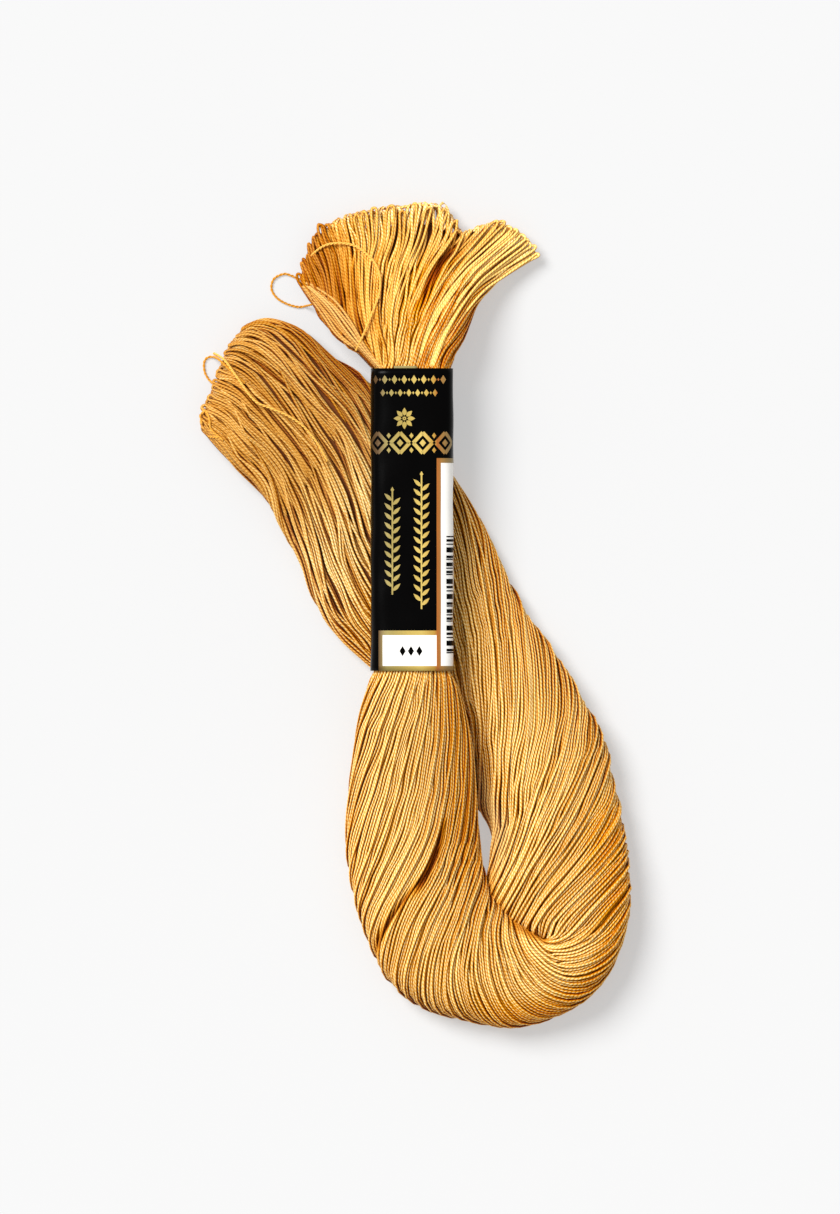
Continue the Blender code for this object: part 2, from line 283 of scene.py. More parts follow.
# The sections of the looped ends, as in the solids: five points of the plan from the inner edge
# to the outer one, the bottom and the top, and the strands' own turns so far.
FAN = (
    ((35.6, 71.2), (22.6, 79.4), (-1.1, 86.6), (-22.4, 79.8), (-30.1, 62.6), -0.4, 6.0, 0.0),
    ((24.0, 63.6), (16.0, 70.4), (-0.8, 73.0), (-17.4, 71.4), (-26.0, 56.4), 0.4, 8.8, 0.011),
    ((17.4, 56.6), (11.8, 61.8), (-0.5, 61.8), (-13.2, 61.8), (-21.8, 50.4), 3.0, 13.4, 0.04),
    ((13.3, 47.4), (8.2, 51.3), (-0.3, 51.3), (-9.2, 51.3), (-16.4, 45.2), 6.6, 17.6, 0.077),
    ((10.5, 42.0), (5.3, 42.4), (0, 42.6), (-5.3, 42.4), (-10.9, 42.0), 9.2, 19.0, 0.11),
)
FREE_END = (
    ((-39.5, 7.1), (-36.8, 16.3), (-33.4, 25.0), (-28.4, 34.7), (-21.4, 43.4), -0.6, 9.8, 2.815),
    ((-45.6, 13.2), (-43.9, 22.1), (-41.0, 31.6), (-36.8, 41.6), (-30.5, 50.8), -0.6, 10.0, 2.835),
    ((-50.6, 18.3), (-49.0, 26.6), (-46.8, 34.7), (-43.5, 44.2), (-38.0, 52.9), -0.6, 9.4, 2.85),
    (
        (-56.0, 24.8), (-56.2, 29.4), (-55.2, 37.2), (-52.0, 44.9), (-45.2, 50.6),
        -0.6, 7.6, TURNS_IN_ALL,
    ),
)

# The other sections: the inner and the outer edge in plan, the bottom and the top, the turns so
# far, and how much higher than the middle the inner edge is.
LEFT_LEG = (
    ((11.8, -43.9), (-11.8, -44.2), 8.9, 19.4, 0.145, 0.6),
    ((14.2, -52.9), (-13.9, -53.2), 6.2, 18.0, 0.182, 1.5),
    ((15.8, -62.4), (-15.3, -63.2), 3.8, 15.9, 0.217, 2.3),
    ((16.6, -73.7), (-16.7, -73.7), 0.4, 13.3, 0.248, 2.7),
)
FOLD = (
    ((17.4, -84.2), (-16.9, -86.8), -0.8, 12.0, 0.3, 1.4),
    ((18.6, -91.6), (-15.2, -98.9), -0.8, 12.2, 0.388, 0.8),
    ((20.4, -98.0), (-11.3, -110.4), -0.8, 12.6, 0.505, 1.0),
    ((23.4, -102.0), (-5.0, -122.2), -0.8, 13.0, 0.645, 1.2),
    ((25.9, -104.9), (5.1, -129.0), -0.8, 13.4, 0.79, 1.4),
    ((28.4, -106.8), (15.8, -131.6), -0.8, 13.8, 0.92, 1.5),
    ((30.7, -108.4), (25.8, -133.2), -0.8, 14.2, 1.035, 1.5),
    ((32.7, -109.3), (35.8, -131.1), -0.8, 14.5, 1.145, 1.3),
    ((34.0, -110.4), (44.7, -126.6), -0.8, 14.6, 1.245, 0.8),
    ((34.9, -110.2), (51.1, -119.2), -0.8, 14.4, 1.34, 0.2),
    ((35.1, -109.6), (54.7, -111.6), -0.8, 14.0, 1.43, -0.4),
    ((32.8, -109.8), (56.7, -104.0), -0.8, 13.5, 1.51, -1.0),
    ((28.9, -108.4), (57.3, -98.7), -0.8, 13.0, 1.6, -1.2),
    ((24.0, -105.2), (57.0, -91.0), -0.8, 12.6, 1.77, -1.2),
    ((20.2, -98.9), (55.6, -81.8), -0.8, 12.0, 1.96, -0.8),
    ((20.9, -87.4), (53.7, -71.1), -0.8, 11.6, 2.1, -0.8),
    ((20.7, -80.8), (52.1, -65.3), -1.0, 11.2, 2.162, -1.6),
)
RIGHT_LEG = (
    ((16.8, -75.0), (50.8, -58.6), -1.4, 10.4, 2.236, -2.4),
    ((13.4, -68.6), (46.5, -49.8), -1.2, 9.2, 2.32, -2.2),
    ((10.4, -61.0), (40.5, -39.8), -0.8, 8.4, 2.404, -1.5),
    ((6.4, -54.7), (34.5, -30.5), -0.6, 7.8, 2.48, -0.6),
    ((0.8, -48.7), (28.4, -21.6), -0.6, 7.5, 2.56, 0),
    ((-6.0, -43.9), (23.2, -10.5), -0.6, 7.5, 2.62, 0),
    ((-12.6, -37.7), (17.9, 0.5), -0.6, 7.5, 2.66, 0),
    ((-19.4, -31.0), (11.3, 11.1), -0.6, 7.5, 2.695, 0),
    ((-25.6, -22.2), (4.7, 19.5), -0.6, 7.5, 2.72, 0),
    ((-29.4, -11.4), (-2.6, 28.2), -0.6, 8.0, 2.74, 0),
    ((-34.5, -2.0), (-10.5, 35.8), -0.6, 8.8, 2.77, 0),
)


def end_section(inner, inner_mid, middle, outer_mid, outer, bottom, top, turn):
    lanes = (inner, inner_mid, middle, outer_mid, outer)
    return Section(lanes, bottom, top, 0.0, turn, SECTION_ROUNDNESS, STEP_OPEN)


def leg_section(inner, outer, bottom, top, turn, lean=0.0, step=STEP_OPEN):
    start, end = np.array(inner), np.array(outer)
    lanes = tuple(tuple(start + (end - start) * share) for share in (0, 0.25, 0.5, 0.75, 1))
    return Section(lanes, bottom, top, lean, turn, SECTION_ROUNDNESS, step)


def band_section(y, step=STEP_HIDDEN):
    """The leg fills the paper, which is thinner here than the solids' wall."""
    gap = PAPER_THICKNESS + PAPER_ROOM
    reach = BAND_WIDTH / 2 - gap
    top = BAND_UNDERSIDE + BAND_HEIGHT - BAND_DISH - gap
    leg = leg_section((reach, y), (-reach, y), BAND_UNDERSIDE + gap, top, TURNS_IN_BAND, step=step)
    return leg._replace(roundness=BAND_ROUNDNESS)


def hank_sections():
    """The whole hank, from the fan over the band, round the fold, to the upper left end."""
    half = BAND_LENGTH / 2
    sections = [end_section(*row) for row in FAN]
    sections += [band_section(y) for y in (half, half / 2, 0, -half / 2)]
    sections.append(band_section(-half, STEP_OPEN))
    for table, step in ((LEFT_LEG, STEP_OPEN), (FOLD, STEP_BEND), (RIGHT_LEG, STEP_OPEN)):
        sections += [leg_section(*row, step=step) for row in table]
    return sections + [end_section(*row) for row in FREE_END]


def spline(knots, rows, where):
    """A smooth curve through rows of numbers given at knots, read at the places in where."""
    knots, rows, where = np.asarray(knots, float), np.asarray(rows, float), np.asarray(where, float)
    slopes = np.gradient(rows, knots, axis=0)
    at = np.clip(np.searchsorted(knots, where, side="right") - 1, 0, len(knots) - 2)
    span = (knots[at + 1] - knots[at])[:, None]
    t = (where - knots[at])[:, None] / span
    before, after = rows[at], rows[at + 1]
    rise = t * t * (3 - 2 * t)
    ease_in = t * (1 - t) ** 2 * span * slopes[at]
    ease_out = t * t * (t - 1) * span * slopes[at + 1]
    return before + (after - before) * rise + ease_in + ease_out


def smooth_line(points, count):
    """A smooth line through points, as count points a regular way apart in the table."""
    knots = np.arange(len(points))
    return spline(knots, points, np.linspace(0, len(points) - 1, count))


def across_lanes(lanes, across):
    """Plan points at places from -1 to 1 over five lanes, each point with lanes of its own."""
    spacing = 0.5
    slopes = np.gradient(lanes, spacing, axis=1)
    along = (np.clip(across, -1.0, 1.0) + 1) / spacing
    at = np.clip(along.astype(int), 0, 3)
    t = (along - at)[:, None]
    own = np.arange(len(lanes))
    before, after = lanes[own, at], lanes[own, at + 1]
    rise = t * t * (3 - 2 * t)
    ease_in = t * (1 - t) ** 2 * spacing * slopes[own, at]
    ease_out = t * t * (t - 1) * spacing * slopes[own, at + 1]
    beyond = (across - np.clip(across, -1.0, 1.0))[:, None]
    edge_slope = np.where(beyond < 0, slopes[:, 0], slopes[:, -1])
    return before + (after - before) * rise + ease_in + ease_out + beyond * edge_slope


def superellipse(angle, roundness):
    """Places across and up, from -1 to 1, on an ellipse that is fuller at its corners."""
    return [np.sign(part) * np.abs(part) ** roundness for part in (np.cos(angle), np.sin(angle))]


def section_outline(roundness, half_width, half_height):
    """A closed section from the outer edge over the top, with its length so far."""
    across, up = superellipse(np.linspace(0, 2 * math.pi, SECTION_SAMPLES + 1), roundness)
    steps = np.hypot(np.diff(across * half_width), np.diff(up * half_height))
    return across, up, np.concatenate([[0], np.cumsum(steps)])


class Hank:
    """The smooth form through the sections, which gives points on and inside the hank."""

    def __init__(self, sections):
        self.lanes = np.array([s.lanes for s in sections], float).reshape(len(sections), -1)
        self.heights = np.array([[s.bottom, s.top, s.lean, s.turn, s.roundness] for s in sections])
        middle = self.lanes.reshape(len(sections), 5, 2).mean(axis=1)
        strides = np.linalg.norm(np.diff(middle, axis=0), axis=1)
        self.knots = np.concatenate([[0], np.cumsum(strides)])
        self.steps = [s.step for s in sections]
        self.length = self.knots[-1]

    def places(self):
        """Distances along the hank for the points of a strand, closest at the looped ends."""
        found = []
        for start, end, step in zip(self.knots, self.knots[1:], self.steps):
            near_end = start < END_FINE_LENGTH or end > self.length - END_FINE_LENGTH
            count = max(1, round((end - start) / (STEP_END if near_end else step)))
            found += [start + (end - start) * i / count for i in range(count)]
        first = [0.0, 0.08, 0.35, 0.8]
        found = [p for p in found if first[-1] < p < self.length - first[-1]]
        return np.array(first + found + [self.length - p for p in reversed(first)])

    def end_factor(self, place):
        """How much of its height the hank keeps near a looped end, as a quarter round."""
        reach = min(place, self.length - place) / END_ROUNDING
        return 1.0 if reach >= 1 else math.sqrt(max(0.0, 1 - (1 - reach) ** 2))

    def girth(self, place):
        """The length round the section at a place."""
        bottom, top, _, _, roundness = spline(self.knots, self.heights, [place])[0]
        lanes = spline(self.knots, self.lanes, [place])[0].reshape(5, 2)
        width = np.linalg.norm(np.diff(lanes, axis=0), axis=1).sum()
        return section_outline(roundness, width / 2, (top - bottom) / 2)[2][-1]

    def drawn_back(self, place, across, uneven):
        """How far points near a looped end are drawn back along the hank."""
        near_start = max(0.0, 1 - place / END_FADE)
        near_finish = max(0.0, 1 - (self.length - place) / END_FADE)
        pull = np.interp(across, *FAN_PULL) * near_start
        pull = pull - np.interp(across, *FREE_END_PULL) * near_finish
        return pull + uneven * PULL_UNEVEN * (near_start - near_finish)

    def spacing(self, place, fractions):
        """How far from its neighbours each strand at fractions lies, square to itself."""
        here, before, after = [
            self.ring(at, fractions, THREAD_RADIUS)[0] for at in (place, place - 1, place + 1)
        ]
        beside = (np.roll(here, -1, axis=0) - np.roll(here, 1, axis=0)) / 2
        apart = np.linalg.norm(np.cross(unit(after - before), beside), axis=1)
        return sum(np.roll(apart, shift) for shift in range(-3, 4)) / 7

    def ring(self, place, fractions, depth, uneven=0.0):
        """Points at fractions round the section at this place, and their places across. depth
        is how far in each point lies from the surface, and uneven how far it stays behind at
        an end, from 0 to 1."""
        bottom, top, lean, turn, roundness = spline(self.knots, self.heights, [place])[0]
        lanes = spline(self.knots, self.lanes, [place])
        chord = np.linalg.norm(lanes[0, -2:] - lanes[0, :2])
        half_width = chord / 2
        half_height = (top - bottom) / 2 * self.end_factor(place)
        across, up, walked = section_outline(roundness, half_width, max(half_height, 0.01))
        share = np.mod(fractions - turn, 1.0)
        crowded = np.interp(share, SHARE_OF_STRANDS, SHARE_OF_GIRTH)
        share = share + (crowded - share) * np.interp(place, *CROWDED_INSIDE)
        wrapped = share * walked[-1]
        across, up = np.interp(wrapped, walked, across), np.interp(wrapped, walked, up)
        across = across * (1 - depth / half_width)
        up = up * (1 - np.clip(depth / max(half_height, 0.5), -0.2, 0.9))
        shift = self.drawn_back(place, across, uneven)
        places = np.clip(place + shift, 0, self.length)
        own_lanes = spline(self.knots, self.lanes, places).reshape(-1, 5, 2)
        plan = across_lanes(own_lanes, across)
        height = (bottom + top) / 2 + up * half_height - lean * across
        return np.column_stack([plan, height]), across


def patches_at(table, place, across):
    """The sum of a table's soft-edged patches at one place along and many places across."""
    total = np.zeros(len(across))
    for start, end, low, high, soft, amount in table:
        along = np.clip(min(place - start, end - place) / 12.0 + 0.5, 0, 1)
        inside = np.clip(np.minimum(across - low, high - across) / soft, 0, 1)
        total = total + amount * along * inside
    return total


def groove_depths(fractions, place):
    """How far the grooves draw each point of the surface in."""
    depth = np.zeros(len(fractions))
    for start, end, first, last, deep, half_width in GROOVES:
        share = (place - start) / (end - start)
        if 0 < share < 1:
            centre = first + (last - first) * share
            off = np.mod(fractions - centre + 0.5, 1.0) - 0.5
            shape = np.exp(-(off * STRANDS / half_width) ** 2)
            depth = depth + deep * math.sin(math.pi * share) ** 0.7 * shape
    return depth


def smooth_noise(seed, cells_round, cells_along):
    """A soft random field from -1 to 1 over the hank, which joins up round the section."""
    values = np.random.default_rng(seed).uniform(-1, 1, (cells_round, cells_along + 2))

    def field(fractions, share_along):
        x = np.mod(fractions, 1.0) * cells_round
        y = share_along * cells_along
        i, j = np.floor(x).astype(int), int(y)
        s, t = x - i, y - j
        s, t = s * s * (3 - 2 * s), t * t * (3 - 2 * t)
        i, after = i % cells_round, (i + 1) % cells_round
        near = values[i, j] * (1 - s) + values[after, j] * s
        far = values[i, j + 1] * (1 - s) + values[after, j + 1] * s
        return near * (1 - t) + far * t

    return field


def strand_paths(hank, layer):
    """The path of every strand of a layer, and for each of its points how much painted shade it
    gets, which way is out of the hank, the cast of its colour, how much paler it is, both of
    these partly painted light, and how far it lies on top. Layer 0 is the surface, 1 lies under
    it, and 2 is the few strands that ride over the others at a small angle. At an end, neighbours
    meet in pairs, as the two halves of an uncut loop."""
    count = (STRANDS, STRANDS_UNDER, RIDERS)[layer]
    rng = np.random.default_rng(51 + layer)
    numbers = np.arange(count)
    spacing = 1.0 / (STRANDS if layer == 2 else count)
    base = (numbers + 0.5 * layer) / count
    order = np.mod(numbers * RANK_STEP + 0.3 * layer, 1.0)
    loop = numbers // 2
    uneven = rng.uniform(0, 1, count)[loop] ** 1.5
    meeting = (2 * loop + 0.5 + 0.5 * layer) / count
    sway, spread, lift = [rng.uniform(low, high, count)[loop] for low, high in LOOP_UNEVEN]
    spread = spread * (numbers % 2 * 2 - 1)
    straying = [
        (far, smooth_noise(seed + layer, cells or count, cells_along))
        for seed, cells, cells_along, far in STRAYING
    ]
    locks = smooth_noise(10, LOCKS, 9)
    heave = smooth_noise(31 + layer, count, 30)
    wander = smooth_noise(71 + layer, count, 7)
    dive = smooth_noise(81 + layer, count, 22)
    rows = []
    for place in hank.places():
        share = place / hank.length
        to_end = min(place, hank.length - place)
        settle = min(1.0, to_end / END_FADE)
        disorder = np.interp(place, *DISORDER)
        moved = sum(far * field(base, share) for far, field in straying) * disorder
        near = min(max(place, ROOM_FROM_END), hank.length - ROOM_FROM_END)
        shown = np.minimum(1.0, hank.spacing(near, base) / THREAD_SPACING)
        if layer == 2:
            moved = moved + RIDER_WANDER * wander(base, share) * disorder
            on_top = np.zeros(count)
        else:
            # Where there is no room for all, some dive and the others close over them.
            rank = np.clip(order + RANK_VARIES * dive(base, share), 0, 1)
            on_top = np.clip((shown * (1 + DIVE_SOFTNESS) - rank) / DIVE_SOFTNESS, 0, 1)
            change = on_top - shown
            drift = np.cumsum(change - change.mean())
            moved = moved + (drift - drift.mean()) / shown
            moved = moved + wander(base, share) * np.interp(place, *CROSSING)
        near_end = math.exp(-(to_end / LOOP_LENGTH) ** 2)
        fractions = base + (moved * settle + (sway + spread) * near_end) * spacing
        turned = max(0.0, 1 - to_end / LOOP_RADIUS)
        closing = meeting + sway * spacing - fractions
        fractions = fractions + closing * (1 - math.sqrt(1 - turned ** 2))
        groove = groove_depths(fractions, place)
        depth = THREAD_RADIUS + groove - lift * near_end
        depth = depth + LOCK_DEPTH * locks(base, share)
        depth = depth + HEAVE_HEIGHT * heave(base, share) * disorder
        if layer == 2:
            inside = min(place - RIDERS_HIDDEN[0], RIDERS_HIDDEN[1] - place)
            hidden = min(1.0, max(0.0, inside / RIDER_HIDING))
            depth = depth - RIDER_LIFT + RIDER_SINK * hidden + RIDER_END_SINK * (1 - settle)
        else:
            depth = depth + DIVE_DEPTH * (1 - on_top)
        if layer == 1:
            # The closer the strands above lie, the less this layer comes up between them.
            apart = hank.girth(place) / count / THREAD_DIAMETER
            depth = depth + SECOND_LAYER_DEPTH * np.clip((1 / apart - 0.62) / 0.3, 0.15, 1)
        points, across = hank.ring(place, fractions, depth, uneven)
        outside, _ = hank.ring(place, fractions, depth - 0.5, uneven)
        points[:, 2] = np.maximum(points[:, 2], THREAD_RADIUS * (1.02 + layer % 2))
        sunk = np.clip((depth - THREAD_RADIUS - SHADE_FROM) / SHADE_OVER, 0, 0.9) * SHADE_BY_DEPTH
        under = SHADE_UNDER if layer == 1 else 0.0
        sunk = sunk + SHADE_IN_GROOVE * np.clip(groove, 0, GROOVE_DARKEST)
        shade = (sunk + under) * (0.5 + 0.5 * settle) + patches_at(SHADED, place, across)
        # At the looped ends the underside's strands show their inner side, in the light, so the
        # painted flank shade is moved off the side that faces up.
        outward = unit(outside - points) + (0, 0, 2.0 * (1 - settle) ** 2)
        cast, paler = [patches_at(table, place, across) for table in (DYE_AND_PAINTED_LIGHT_CASTS, TONE_AND_PAINTED_LIGHT)]
        rows.append((points, shade, outward, cast, paler, on_top))
    return [np.stack(found, axis=1) for found in zip(*rows)]


def unit(vectors):
    return vectors / np.maximum(np.linalg.norm(vectors, axis=-1, keepdims=True), 1e-9)


def ring_frames(paths, outward=None):
    """Two directions square to each path at each of its points: the first as near to outward
    as it can be or, without it, carried along from straight up without any spin."""
    tangents = unit(np.gradient(paths, axis=1))
    if outward is not None:
        square = outward - (outward * tangents).sum(axis=2, keepdims=True) * tangents
        first = unit(square)
        return first, np.cross(tangents, first)
    up = np.tile(UP, (len(paths), 1))
    carried = []
    for k in range(paths.shape[1]):
        t = tangents[:, k]
        up = unit(up - (up * t).sum(axis=1, keepdims=True) * t)
        carried.append(up)
    first = np.stack(carried, axis=1)
    return first, np.cross(tangents, first)


def grid_quads(rows, columns, closed):
    """Four-sided faces between rows of points, whose columns may close to a ring."""
    row, column = np.meshgrid(
        np.arange(rows - 1), np.arange(columns if closed else columns - 1), indexing="ij"
    )
    near, far, beside = row * columns, (row + 1) * columns, (column + 1) % columns
    corners = near + column, near + beside, far + beside, far + column
    return np.stack(corners, -1).reshape(-1, 4)


def mesh_object(name, points, quads, material):
    """An object from points in millimetres about the band and an array of four-sided faces."""
    mesh = bpy.data.meshes.new(name)
    mesh.vertices.add(len(points))
    mesh.vertices.foreach_set("co", ((points + ORIGIN) * MM).ravel())
    mesh.loops.add(quads.size)
    mesh.loops.foreach_set("vertex_index", quads.ravel().astype(np.int32))
    mesh.polygons.add(len(quads))
    mesh.polygons.foreach_set("loop_start", np.arange(0, quads.size, 4, dtype=np.int32))
    mesh.update(calc_edges=True)
    mesh.validate()
    mesh.shade_smooth()
    mesh.materials.append(material)
    thing = bpy.data.objects.new(name, mesh)
    bpy.context.scene.collection.objects.link(thing)
    return thing


def room_beside(paths, outward, on_top):
    """How far away the next strand that lies on top is, on the left and right of every strand."""
    far_off = 9.0
    sideways = ring_frames(paths, outward)[1]
    room = []
    for step in (1, -1):
        away = np.full(on_top.shape, far_off)
        for reach in (3, 2, 1):
            other = np.roll(paths, -step * reach, axis=0)
            there = np.roll(on_top, -step * reach, axis=0)
            gap = ((other - paths) * sideways).sum(axis=2)
            away = there * np.abs(gap) + (1 - there) * away
        room.append(away)
    ahead = ((np.roll(paths, -1, axis=0) - paths) * sideways).sum(axis=(0, 2))
    return room if np.median(ahead) > 0 else room[::-1]


def tubes(name, paths, radius, material, looks, folds=1, sides=SIDES, outward=None, room=None,
          open_air=None):
    """Round strands along paths, which is an array of strands by points by three. looks is
    their tones, shades and casts, each a number for each point, for the material to colour
    them; the shades are painted shade. With outward, the flanks of the strands get painted
    shade, standing in for the shade of their neighbours, and room is how far off those are:
    strands press each other out of round. open_air is how free of its neighbours each step is,
    and takes that share off the flanks' painted shade. The bake's map lays each strand out in
    so many folds."""
    tones, shades, casts = looks
    count, steps, _ = paths.shape
    first, second = ring_frames(paths, outward)
    angle = np.arange(sides) / sides * 2 * math.pi
    # The flanks get painted shade, on top of the shades given.
    faced = np.clip(np.cos(angle), 0, 1) ** FLANK_CURVE if outward is not None else np.ones(sides)
    flank = FLANK_SHADE * (np.ones(steps) if open_air is None else 1 - open_air)
    shades = 1 - (1 - shades[:, :, None]) * (1 - flank[:, None] * (1 - faced))
    # The tips are all but closed.
    girth = np.ones(steps)
    girth[[0, -1]] = 0.15
    reach = radius * girth[None, :, None, None]
    over = np.broadcast_to(np.sin(angle), (count, steps, sides))
    if room is not None:
        left, right = [np.clip(side / radius / 2, *PRESSED)[:, :, None] for side in room]
        over = over * np.where(over > 0, left, right)
    offset = first[:, :, None] * np.cos(angle)[:, None] + second[:, :, None] * over[..., None]
    points = (paths[:, :, None] + offset * reach).reshape(-1, 3)
    strand, step, side = np.meshgrid(
        np.arange(count), np.arange(steps - 1), np.arange(sides), indexing="ij"
    )
    around = (side + 1) % sides
    start = (strand * steps + step) * sides
    corners = start + side, start + around, start + sides + around, start + sides + side
    thing = mesh_object(name, points, np.stack(corners, -1).reshape(-1, 4), material)
    lengths = np.linalg.norm(np.diff(paths, axis=1), axis=2)
    along = np.concatenate([np.zeros((count, 1)), np.cumsum(lengths, axis=1)], axis=1)
    offsets = np.random.default_rng(5).uniform(0, 1, count)
    turns = along / PLY_PITCH + offsets[:, None]
    near, far = turns[strand, step], turns[strand, step + 1]
    left, right = side / sides, (side + 1) / sides
    twist = np.stack([left, near, right, near, right, far, left, far], -1)
    set_uv(thing.data, "twist", twist)
    per_fold = -(-(steps - 1) // folds)
    fold = step // per_fold
    low, high = (step % per_fold) / per_fold, (step % per_fold + 1) / per_fold
    strips = count * folds
    strip = strand * folds + fold
    left, right = (strip + 0.1 + 0.8 * left) / strips, (strip + 0.1 + 0.8 * right) / strips
    set_uv(thing.data, "OFBake", np.stack([left, low, right, low, right, high, left, high], -1))
    set_number(thing.data, "tone", np.repeat(tones.ravel(), sides))
    set_number(thing.data, "cast", np.repeat(casts.ravel(), sides))
    set_number(thing.data, "shade", shades.ravel())
    return thing


def set_uv(mesh, name, corners):
    layer = mesh.uv_layers.new(name=name, do_init=False)
    layer.uv.foreach_set("vector", corners.astype(np.float32).ravel())


def set_number(mesh, name, values):
    layer = mesh.attributes.new(name, "FLOAT", "POINT")
    layer.data.foreach_set("value", np.asarray(values, np.float32))


# Materials


def linear(hex_colour):
    """An sRGB colour such as #C08040 as linear red, green, blue and alpha."""
    channels = [int(hex_colour[i:i + 2], 16) / 255 for i in (1, 3, 5)]
    curved = [c / 12.92 if c <= 0.04045 else ((c + 0.055) / 1.055) ** 2.4 for c in channels]
    return (*curved, 1.0)


def node(tree, kind, inputs=None, **settings):
    """Adds a node, sets it up, and fills or links its inputs, named or by number."""
    made = tree.nodes.new(kind)
    for name, value in settings.items():
        setattr(made, name, value)
    for key, value in (inputs or {}).items():
        if isinstance(value, bpy.types.NodeSocket):
            tree.links.new(value, made.inputs[key])
        else:
            made.inputs[key].default_value = value
    return made


def new_material(name):
    """An empty material's tree, its shader and the output that shows it."""
    material = bpy.data.materials.new(name)
    material.use_nodes = True
    tree = material.node_tree
    tree.nodes.clear()
    shader = node(tree, "ShaderNodeBsdfPrincipled")
    node(tree, "ShaderNodeOutputMaterial", {"Surface": shader.outputs[0]})
    return material, tree, shader


def mottled(tree, scale, dark, light, detail=2.0):
    """A fine noise that stays with the object, and the colour that it mixes from two."""
    place = node(tree, "ShaderNodeTexCoord").outputs["Object"]
    grain = node(
        tree, "ShaderNodeTexNoise", {"Vector": place, "Scale": scale, "Detail": detail}
    ).outputs["Fac"]
    colour = node(tree, "ShaderNodeMix", {
        MIX_FACTOR: grain, MIX_A: linear(dark), MIX_B: linear(light),
    }, data_type="RGBA").outputs[MIX_RESULT]
    return grain, colour


